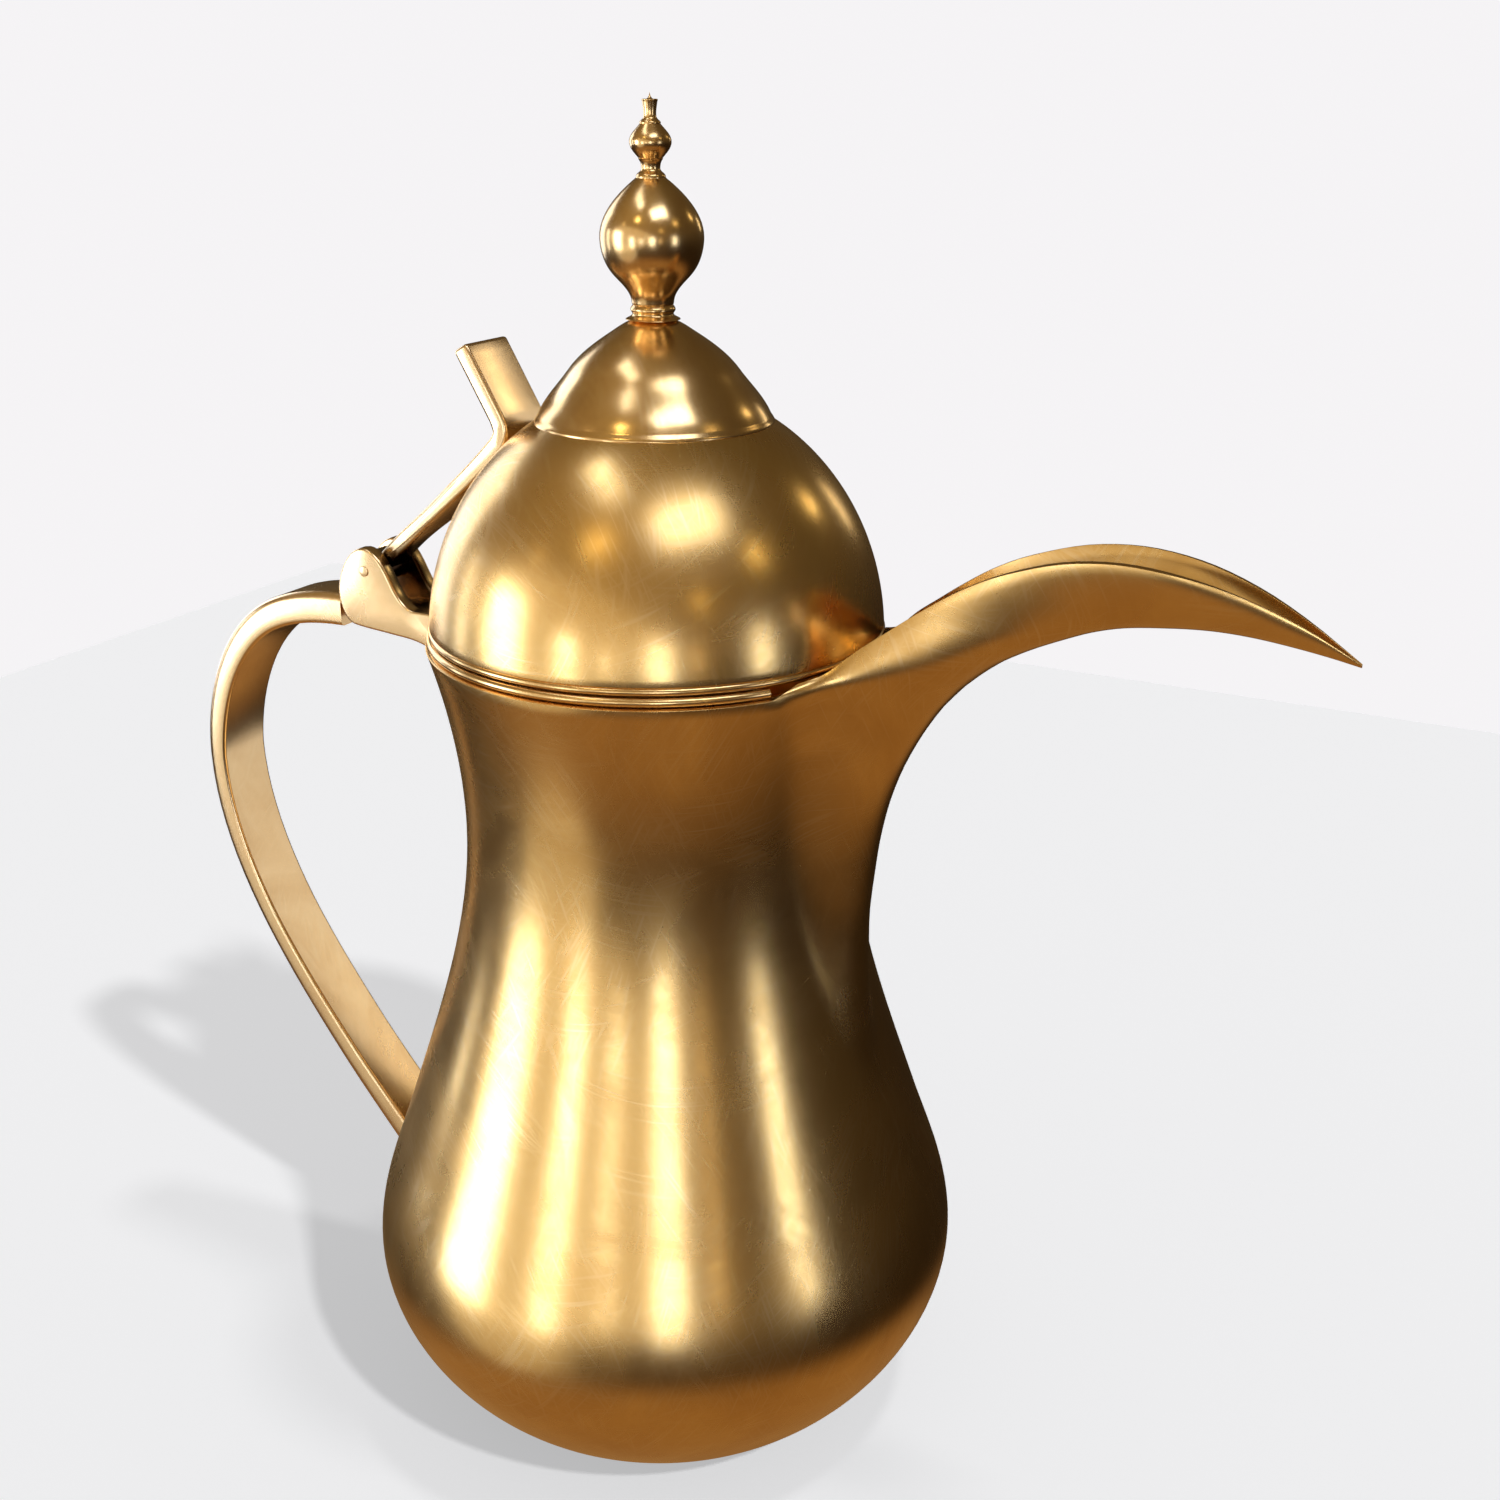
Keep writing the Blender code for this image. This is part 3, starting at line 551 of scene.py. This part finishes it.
lid = {
    "domeR": 0.0487, "domeHeight": 0.0528, "domeRise": 0.0009, "footRise": 0.0038, "wall": 0.0011,
    "collarR": 0.0441, "collarDrop": 0.0050, "crownR": 0.0249, "crownHeight": 0.0212,
}
domeZ = rimZ + lid["domeRise"]
low = math.asin((lid["footRise"] - lid["domeRise"]) / lid["domeHeight"])
high = math.acos(0.0012 / lid["domeR"])
arcSteps = 48
domeLine = [
    (lid["domeR"] * math.cos(low + (high - low) * i / arcSteps),
     domeZ + lid["domeHeight"] * math.sin(low + (high - low) * i / arcSteps))
    for i in range(arcSteps + 1)
]
dome = turnPiece("lidDome", domeLine, 160, wall=lid["wall"], edge=0.0003)
dress(dome, "lid", "satin_brass", satinBrass, "lid_dome")

top = rimZ + lid["footRise"] + 0.0016
collar = turnPiece(
    "lidCollar",
    [(0.0464, top), (0.0464, top - 0.0011), (lid["collarR"] + 0.0006, top - 0.0011),
     (lid["collarR"], top - 0.0017),
     (lid["collarR"], rimZ - lid["collarDrop"]), (lid["collarR"] - 0.0011, rimZ - lid["collarDrop"]),
     (lid["collarR"] - 0.0011, top), (0.0464, top)],
    128, edge=0.0002,
)
dress(collar, "lid", "satin_brass", satinBrass, "lid_collar")


def domeHeightAt(radius):
    return domeZ + lid["domeHeight"] * math.sqrt(1 - (radius / lid["domeR"]) ** 2)


crownFoot = domeHeightAt(lid["crownR"]) - 0.0004
crownTop = crownFoot + lid["crownHeight"]
crownLine = smoothLine(
    [
        (lid["crownR"] - 0.0004, crownFoot - 0.0002, 60),
        (lid["crownR"], crownFoot + 0.0006, 100),
        (lid["crownR"] - 0.0008, crownFoot + 0.0020, 114),
        (0.71 * lid["crownR"], crownFoot + 0.51 * lid["crownHeight"], 126),
        (0.35 * lid["crownR"], crownTop - 0.13 * lid["crownHeight"], 147),
        (0.0034, crownTop - 0.0001, 172),
        (0.0012, crownTop, 180),
    ],
    10,
)
crown = turnPiece("lidCrown", crownLine, 128, wall=0.0010)
dress(crown, "lid", "polished_brass", polishedBrass, "lid_crown")
print("lid ready")


finial = {
    "neckR": 0.0043, "baseHeight": 0.0026, "ballR": 0.0105, "ballHeight": 0.0240,
    "spoolR": 0.0019, "spoolHeight": 0.0029, "beadR": 0.0042, "beadHeight": 0.0066,
    "headR": 0.0015, "headHeight": 0.0042, "spike": 0.0015, "gap": 0.0003,
}
level = crownTop + finial["gap"]
neckR = finial["neckR"]
ringLine = smoothLine(
    [
        (0.0, level - 0.0005, 0), (neckR + 0.0012, level - 0.0005, 20), (neckR - 0.0001, level + 0.0006, 100),
        (neckR + 0.0003, level + 0.0015, 90), (neckR - 0.0005, level + finial["baseHeight"] + 0.0002, 120),
        (0.0, level + finial["baseHeight"] + 0.0003, 180),
    ],
    8,
)
ringPiece = turnPiece("finialBase", ringLine, 96)
dress(ringPiece, "lid", "polished_brass", polishedBrass, "finial_base")

level += finial["baseHeight"] + finial["gap"]
ballR, ballH = finial["ballR"], finial["ballHeight"]
ballLine = smoothLine(
    [
        (0.0, level - 0.0003, 0), (neckR, level, 88), (0.76 * ballR, level + 0.23 * ballH, 49),
        (ballR, level + 0.53 * ballH, 90), (0.29 * ballR, level + ballH, 142),
        (0.0, level + ballH + 0.0003, 180),
    ],
    14,
)
ball = turnPiece("finialBall", ballLine, 128)
dress(ball, "lid", "polished_brass", polishedBrass, "finial_ball")

level += ballH + finial["gap"]
spoolR, spoolH = finial["spoolR"], finial["spoolHeight"]
spoolLine = smoothLine(
    [
        (0.0, level - 0.0004, 0), (spoolR + 0.0011, level - 0.0003, 90),
        (spoolR + 0.0009, level + 0.0004, 130),
        (spoolR, level + 0.52 * spoolH, 90), (spoolR + 0.0005, level + spoolH + 0.0003, 50),
        (0.0, level + spoolH + 0.0004, 180),
    ],
    8,
)
spool = turnPiece("finialSpool", spoolLine, 64)
dress(spool, "lid", "polished_brass", polishedBrass, "finial_spool")

level += spoolH + finial["gap"]
beadR, beadH = finial["beadR"], finial["beadHeight"]
beadLine = smoothLine(
    [
        (0.0, level - 0.0002, 0), (0.52 * beadR, level, 50), (beadR, level + 0.5 * beadH, 90),
        (0.5 * beadR, level + beadH, 130), (0.0, level + beadH + 0.0002, 180),
    ],
    12,
)
bead = turnPiece("finialBead", beadLine, 96)
dress(bead, "lid", "polished_brass", polishedBrass, "finial_bead")

level += beadH + finial["gap"]
headR, headTop = finial["headR"], level + finial["headHeight"]
spindleLine = smoothLine(
    [
        (0.0, domeTop - 0.0072, 0), (0.0010, domeTop - 0.0072, 90), (0.0010, level - 0.0006, 90),
        (headR + 0.0006, level - 0.0002, 60), (headR - 0.0002, level + 0.0010, 100),
        (headR, headTop - 0.0004, 82), (headR + 0.0001, headTop, 90), (0.0008, headTop + 0.0001, 170),
        (0.0, headTop + finial["spike"], 95),
    ],
    6,
)
spindle = turnPiece("finialSpindle", spindleLine, 64)
dress(spindle, "lid", "polished_brass", polishedBrass, "finial_spindle")

fixing = {"washerR": 0.0046, "washerThick": 0.0010, "nutR": 0.0034, "boreR": 0.0011, "nutEdge": 0.0003}
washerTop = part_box("rod_washer")[1].z
washer = turnPiece(
    "rodWasher",
    [(fixing["boreR"], washerTop), (fixing["washerR"], washerTop),
     (fixing["washerR"], washerTop - fixing["washerThick"]),
     (fixing["boreR"], washerTop - fixing["washerThick"]), (fixing["boreR"], washerTop)],
    64, edge=0.0001,
)
dress(washer, "lid", "polished_brass", polishedBrass, "rod_washer")
nutLow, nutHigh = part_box("rod_nut")
letGo()
bpy.ops.mesh.primitive_cylinder_add(
    vertices=6, radius=fixing["nutR"], depth=nutHigh.z - nutLow.z, location=(0, 0, (nutLow.z + nutHigh.z) / 2)
)
nut = bpy.context.object
nut.name = "rodNut"
bpy.ops.object.transform_apply(location=True)
bpy.ops.object.mode_set(mode="EDIT")
bpy.ops.mesh.select_all(action="SELECT")
bpy.ops.mesh.bevel(offset=fixing["nutEdge"], segments=2)
bpy.ops.object.mode_set(mode="OBJECT")
bpy.ops.object.shade_smooth_by_angle(angle=math.radians(35))
dress(nut, "lid", "polished_brass", polishedBrass, "rod_nut")
print("finial ready")


strap = {
    "width": 0.0150, "thick": 0.0055, "rootSwell": 0.0021, "footSwell": 0.0015, "outerRound": 0.0021,
    "innerRound": 0.0009, "steps": 18,
    "knots": [
        (-0.0806, 0.1826, 180), (-0.1060, 0.1764, 213), (-0.1240, 0.1380, 270), (-0.0910, 0.0638, 306),
        (-0.0628, 0.0285, 308),
    ],
}
centre = smoothLine(strap["knots"], strap["steps"])
count = len(centre)
halfT = strap["thick"] / 2
letGo()
bpy.ops.mesh.primitive_plane_add(size=1, location=(0, 0, 0))
handle = bpy.context.object
handle.name = "handleStrap"
handle.scale = (strap["thick"], strap["width"], 1)
bpy.ops.object.transform_apply(scale=True)
bpy.ops.object.mode_set(mode="EDIT")
for side, radius in ((1, strap["outerRound"]), (-1, strap["innerRound"])):  # +X is the outer face
    bpy.ops.mesh.select_mode(type="VERT")
    bpy.ops.mesh.select_all(action="DESELECT")
    bpy.ops.object.mode_set(mode="OBJECT")
    for vertex in handle.data.vertices:
        vertex.select = abs(vertex.co.x - side * halfT) < 0.00001
    bpy.ops.object.mode_set(mode="EDIT")
    bpy.ops.mesh.bevel(offset=radius, segments=5, affect="VERTICES")
bpy.ops.object.mode_set(mode="OBJECT")
section = [(v.co.x, v.co.y) for v in handle.data.vertices]


def placeSection(vertices, k):
    x0, z0 = centre[max(k - 1, 0)]
    x1, z1 = centre[min(k + 1, count - 1)]
    length = math.hypot(x1 - x0, z1 - z0)
    sideX, sideZ = (z1 - z0) / length, -(x1 - x0) / length  # towards the outer face
    share = k / (count - 1)
    swell = strap["rootSwell"] * max(0, 1 - (share / 0.5) ** 2)
    swell += strap["footSwell"] * max(0, 1 - (1 - share) / 0.36)
    for vertex, (out, y) in zip(vertices, section):
        moved = out - swell * (halfT - out) / strap["thick"]
        vertex.co = (centre[k][0] + sideX * moved, y, centre[k][1] + sideZ * moved)


placeSection(handle.data.vertices, 0)
bpy.ops.object.mode_set(mode="EDIT")
bpy.ops.mesh.select_all(action="SELECT")
bpy.ops.object.mode_set(mode="OBJECT")
for k in range(1, count):
    bpy.ops.object.mode_set(mode="EDIT")
    bpy.ops.mesh.extrude_region_move(TRANSFORM_OT_translate={"value": (0, 0, 0.0)})
    bpy.ops.object.mode_set(mode="OBJECT")
    fresh = [v for v in handle.data.vertices if v.select]
    placeSection(fresh, k)
tidyMesh(handle, 0.000005)
bpy.ops.object.shade_smooth_by_angle(angle=math.radians(32))
dress(handle, "pot", "pale_brass", paleBrass, "handle_strap")
print("handle:", len(handle.data.polygons), "faces")


hinge = {
    "lobeR": 0.0080, "cheekThick": 0.0035, "barTop": -0.0009, "barHeight": 0.0063, "rounding": 0.0010,
    "pinR": 0.00125, "pinProud": 0.00025, "pinEdge": 0.0002,
}
left = pinX - hinge["lobeR"]
barTop = rimZ + hinge["barTop"]
barLow = barTop - hinge["barHeight"]
cheekLine = smoothLine(
    [
        (left, rimZ + 0.0009, 90), (pinX, pinZ + 0.0053, 0), (pinX + 0.0072, pinZ - 0.0019, -64),
        (pinX + 0.0135, barTop, 0),
    ],
    10,
)
cheekLine += [(-0.0485, barTop), (-0.0468, barTop - 0.003), (-0.0462, barLow - 0.0040)]
cheekLine += smoothLine(
    [
        (-0.0466, barLow - 0.0068, 125), (-0.0574, barLow - 0.0014, 160), (pinX + 0.0060, barLow, 174),
        (pinX - 0.0040, barLow + 0.0010, 170), (left, rimZ + 0.0009, 90),
    ],
    8,
)[:-1]
middle = (strap["width"] - hinge["cheekThick"]) / 2
for name, y, node in (("cheekLeft", middle, "hinge_cheek_left"),
                      ("cheekRight", -middle, "hinge_cheek_right")):
    cheek = platePiece(name, cheekLine, hinge["cheekThick"], y, hinge["rounding"])
    dress(cheek, "pot", "pale_brass", paleBrass, node)
barLine = [(x, z) for x, z in cheekLine if z <= barTop + 0.00001]
barLine = [(x, min(z, barTop)) for x, z in barLine]
bar = platePiece("hingeBar", barLine, strap["width"] - 2 * hinge["cheekThick"] + 0.0012, 0.0, 0.0003)
dress(bar, "pot", "pale_brass", paleBrass, "hinge_bar")

letGo()
bpy.ops.mesh.primitive_cylinder_add(
    vertices=40, radius=hinge["pinR"], depth=strap["width"] + 2 * hinge["pinProud"], location=(pinX, 0, pinZ),
    rotation=(math.radians(90), 0, 0),
)
pin = bpy.context.object
pin.name = "hingePin"
bpy.ops.object.transform_apply(location=True, rotation=True)
bpy.ops.object.mode_set(mode="EDIT")
bpy.ops.mesh.select_all(action="SELECT")
bpy.ops.mesh.bevel(offset=hinge["pinEdge"], segments=3)
bpy.ops.object.mode_set(mode="OBJECT")
bpy.ops.object.shade_smooth_by_angle(angle=math.radians(35))
dress(pin, "pot", "pale_brass", paleBrass, "hinge_pin")


lever = {
    "thick": 0.0039, "rootWidth": 0.0074, "tabWidth": 0.0155, "tabRise": 0.0594, "tabX": -0.0430,
    "elbowR": 0.0342, "rounding": 0.0009, "spread": 0.019,
}
elbowR = lever["elbowR"]
elbowZ = domeHeightAt(elbowR) + 0.0018
arm = smoothLine(
    [
        (pinX + 0.002, pinZ + 0.001, 47), (-elbowR - 0.0220, elbowZ - 0.0195, 37),
        (-elbowR - 0.0024, elbowZ - 0.0026, 46),
    ],
    10,
)
bend = smoothLine(
    [
        (-elbowR - 0.0016, elbowZ - 0.0018, 47), (-elbowR + 0.0004, elbowZ + 0.0015, 84),
        (-elbowR - 0.0004, elbowZ + 0.0046, 112),
    ],
    5,
)
tabTop = (lever["tabX"], rimZ + lever["tabRise"])
tabLine = [
    (bend[-1][0] + (tabTop[0] - bend[-1][0]) * i / 6, bend[-1][1] + (tabTop[1] - bend[-1][1]) * i / 6)
    for i in range(1, 7)
]
spine = arm + bend + tabLine


def sidestep(points, distance):
    moved = []
    for i, (x, z) in enumerate(points):
        x0, z0 = points[max(i - 1, 0)]
        x1, z1 = points[min(i + 1, len(points) - 1)]
        length = math.hypot(x1 - x0, z1 - z0)
        moved.append((x - distance * (z1 - z0) / length, z + distance * (x1 - x0) / length))
    return moved


def leverWidth(x):
    start = pinX + hinge["lobeR"] + 0.001
    share = min(max((x - start) / lever["spread"], 0), 1)
    return 1 + share * share * (3 - 2 * share) * (lever["tabWidth"] / lever["rootWidth"] - 1)


leverLine = sidestep(spine, lever["thick"] / 2) + sidestep(spine, -lever["thick"] / 2)[::-1]
leverPiece = platePiece("lidLever", leverLine, lever["rootWidth"], 0.0, lever["rounding"], leverWidth)
letGo()
bpy.ops.mesh.primitive_cylinder_add(
    vertices=64, radius=lever["thick"], depth=lever["rootWidth"], location=(pinX, 0, pinZ),
    rotation=(math.radians(90), 0, 0),
)
knuckle = bpy.context.object
bpy.ops.object.transform_apply(location=True, rotation=True)
letGo()
useModifier(leverPiece, "BOOLEAN", operation="UNION", solver="EXACT", object=knuckle)
bpy.data.objects.remove(knuckle)
leverPiece.select_set(True)
bpy.context.view_layer.objects.active = leverPiece
bpy.ops.object.shade_smooth_by_angle(angle=math.radians(35))
dress(leverPiece, "lid", "pale_brass", paleBrass, "lid_lever")
print("hinge and lever ready")


studio = {
    "lampReach": 3.0, "floorSize": 1.152, "floorColour": (0.86, 0.86, 0.87),
    "backdrop": (0.915, 0.900, 0.915),
    "roomLight": 0.12, "floorGlow": 0.545,
}
letGo()
bpy.ops.mesh.primitive_plane_add(size=studio["floorSize"], location=(0, 0, 0))
floor = bpy.context.object
floor.name = "floor"
floor.visible_glossy = False
floor.visible_shadow = False
floorFinish = bpy.data.materials.new("floorPaper")
floorFinish.use_nodes = True
floorShader = floorFinish.node_tree.nodes["Principled BSDF"]
floorShader.inputs["Base Color"].default_value = (*studio["floorColour"], 1)
floorShader.inputs["Roughness"].default_value = 0.9
floorShader.inputs["Specular IOR Level"].default_value = 0.0
floorShader.inputs["Emission Color"].default_value = (*studio["floorColour"], 1)
floorShader.inputs["Emission Strength"].default_value = studio["floorGlow"]
floor.data.materials.append(floorFinish)

world = bpy.context.scene.world or bpy.data.worlds.new("studio")
bpy.context.scene.world = world
world.use_nodes = True
room = world.node_tree
room.nodes.clear()
look = addNode(room, "ShaderNodeTexCoord").outputs["Generated"]
split = addNode(room, "ShaderNodeSeparateXYZ", [(0, look)])
lift = addNode(room, "ShaderNodeMapRange", [("Value", split.outputs[2]), ("From Min", -1.0),
                                            ("From Max", 1.0)])
ramp = addNode(room, "ShaderNodeValToRGB", [(0, lift.outputs[0])])
bands = [
    (0.00, (0.34, 0.19, 0.07)), (0.14, (0.34, 0.19, 0.07)), (0.19, (0.24, 0.13, 0.05)),
    (0.24, (0.065, 0.04, 0.02)), (0.37, (0.085, 0.055, 0.03)), (0.48, (0.19, 0.14, 0.08)),
    (0.58, (0.30, 0.22, 0.12)), (0.80, (0.34, 0.24, 0.11)),
    (1.00, (0.46, 0.34, 0.16)),
]
while len(ramp.color_ramp.elements) < len(bands):
    ramp.color_ramp.elements.new(0.5)
for element, (at, colour) in zip(ramp.color_ramp.elements, bands):
    element.position = at
    element.color = (*colour, 1)
brightSide = Vector((math.cos(math.radians(-110)), math.sin(math.radians(-110)), 0))
facing = addNode(room, "ShaderNodeVectorMath", [(0, look), (1, brightSide)], operation="DOT_PRODUCT")
sideShare = addNode(room, "ShaderNodeMapRange",
                    [("Value", facing.outputs[1]), ("From Min", -0.45), ("From Max", 0.75), ("To Min", 0.3)])
fallen = addNode(room, "ShaderNodeMapRange", [("Value", split.outputs[2]), ("From Min", -0.72),
                                              ("From Max", -0.55)])
shaded = addNode(room, "ShaderNodeMix", [(0, fallen.outputs[0]), (2, 1.0), (3, sideShare.outputs[0])],
                 data_type="FLOAT")
paths = addNode(room, "ShaderNodeLightPath")
reflected = addNode(room, "ShaderNodeBackground", [("Color", ramp.outputs[0]),
                                                   ("Strength", shaded.outputs[0])])
ambient = addNode(room, "ShaderNodeBackground", [("Color", (1, 1, 1, 1)), ("Strength", studio["roomLight"])])
seen = addNode(room, "ShaderNodeBackground", [("Color", (*studio["backdrop"], 1)), ("Strength", 1.0)])
first = addNode(room, "ShaderNodeMixShader",
                [(0, paths.outputs["Is Diffuse Ray"]), (1, reflected.outputs[0]), (2, ambient.outputs[0])])
second = addNode(room, "ShaderNodeMixShader",
                 [(0, paths.outputs["Is Camera Ray"]), (1, first.outputs[0]), (2, seen.outputs[0])])
addNode(room, "ShaderNodeOutputWorld", [("Surface", second.outputs[0])])

lamps = [  # name, direction round the pot, height, width and height across in degrees, radiance, colour
    ("window", -141.0, 0.0, 20.0, 31.0, 3.78, (0.90, 1.0, 1.18)),
    ("doorOne", -105.0, -3.0, 8.0, 20.0, 3.57, (0.90, 1.0, 1.18)),
    ("doorTwo", -84.0, -1.0, 7.0, 12.0, 1.9, (0.90, 1.0, 1.18)),
    ("doorThree", -59.5, -1.0, 9.5, 18.0, 3.78, (0.90, 1.0, 1.18)),
    ("doorFour", -42.0, 0.0, 4.0, 12.0, 1.32, (1.0, 0.86, 0.62)),
    ("doorFive", -9.0, 0.0, 9.0, 18.0, 2.52, (0.90, 1.0, 1.18)),
    ("skylight", -33.0, 59.0, 30.0, 17.0, 3.3, (0.90, 1.0, 1.18)),
    ("skylightTwo", -138.0, 69.0, 26.0, 9.0, 2.2, (0.90, 1.0, 1.18)),
    ("bulbOne", -100.0, 46.0, 7.0, 7.0, 5.0, (1.0, 0.84, 0.42)),
    ("bulbTwo", 2.0, 35.0, 6.5, 6.5, 2.75, (1.0, 0.84, 0.44)),
    ("bulbThree", -38.0, 24.0, 4.5, 4.5, 2.2, (1.0, 0.80, 0.36)),
    ("bulbFour", -133.0, 31.0, 5.0, 5.0, 0.88, (1.0, 0.84, 0.50)),
    ("bulbFive", 58.0, 27.0, 6.5, 6.5, 2.2, (1.0, 0.84, 0.48)),
    ("bulbSix", 79.0, 11.0, 5.0, 12.0, 1.65, (1.0, 0.90, 0.66)),
    ("sideDoor", 160.0, 8.0, 26.0, 40.0, 1.76, (0.90, 1.0, 1.18)),
    ("backDoor", -172.0, 0.0, 8.0, 26.0, 2.2, (0.90, 1.0, 1.18)),
    ("floorGlow", -122.0, -24.0, 46.0, 26.0, 0.36, (1.0, 0.94, 0.78)),
    ("board", 44.0, 4.0, 50.0, 66.0, 0.60, (1.0, 0.97, 0.92)),
    ("wallGlow", -112.0, 6.0, 104.0, 46.0, 0.30, (1.0, 0.93, 0.74)),
]
target = Vector((0, 0, 0.13))
for name, turn, height, across, upward, radiance, colour in lamps:
    data = bpy.data.lights.new(name, "AREA")
    data.shape = "ELLIPSE" if name.startswith("bulb") or name.endswith("Glow") else "RECTANGLE"
    wide, tall = (2 * studio["lampReach"] * math.tan(math.radians(turned / 2)) for turned in (across, upward))
    data.size, data.size_y = wide, tall
    data.energy = 4 * wide * tall * radiance
    data.color = colour
    lamp = bpy.data.objects.new(name, data)
    bpy.context.scene.collection.objects.link(lamp)
    a, e = math.radians(turn), math.radians(height)
    towards = Vector((math.cos(a) * math.cos(e), math.sin(a) * math.cos(e), math.sin(e)))
    lamp.location = target + studio["lampReach"] * towards
    lamp.rotation_euler = (target - lamp.location).to_track_quat("-Z", "Y").to_euler()
    lamp.visible_diffuse = False
    if name == "board":  # brightens only the faces of the handle and lever that look forward
        lit = bpy.data.collections.new("boardLit")
        lit.objects.link(handle)
        lit.objects.link(leverPiece)
        lamp.light_linking.receiver_collection = lit
    lamp.visible_camera = False
suns = [  # name, direction round the pot, height, strength, spread
    ("sideSun", -25.5, 46.0, 1.0, 3.0),
    ("topSun", 17.0, 74.0, 0.35, 6.0),
]
for name, turn, height, strength, spread in suns:
    data = bpy.data.lights.new(name, "SUN")
    data.energy = strength
    data.angle = math.radians(spread)
    sun = bpy.data.objects.new(name, data)
    bpy.context.scene.collection.objects.link(sun)
    a, e = math.radians(turn), math.radians(height)
    sun.location = (math.cos(a) * math.cos(e), math.sin(a) * math.cos(e), math.sin(e))
    sun.rotation_euler = (-Vector(sun.location)).to_track_quat("-Z", "Y").to_euler()
    sun.visible_glossy = False

view = {"place": (0.1879, -0.3255, 0.2980), "down": 20.4, "heading": 26.96, "roll": 0.15, "lens": 43.456}
cameraData = bpy.data.cameras.new("camera")
cameraData.lens = view["lens"]
cameraData.sensor_width = 36
cameraData.clip_start = 0.01
camera = bpy.data.objects.new("camera", cameraData)
bpy.context.scene.collection.objects.link(camera)
camera.matrix_world = (
    Matrix.Translation(view["place"])
    @ Matrix.Rotation(math.radians(view["heading"]), 4, "Z")
    @ Matrix.Rotation(math.radians(90 - view["down"]), 4, "X")
    @ Matrix.Rotation(math.radians(view["roll"]), 4, "Z")
)
bpy.context.scene.camera = camera
bpy.context.scene.view_settings.view_transform = "Standard"
bpy.context.scene.cycles.caustics_reflective = False
print("studio ready")
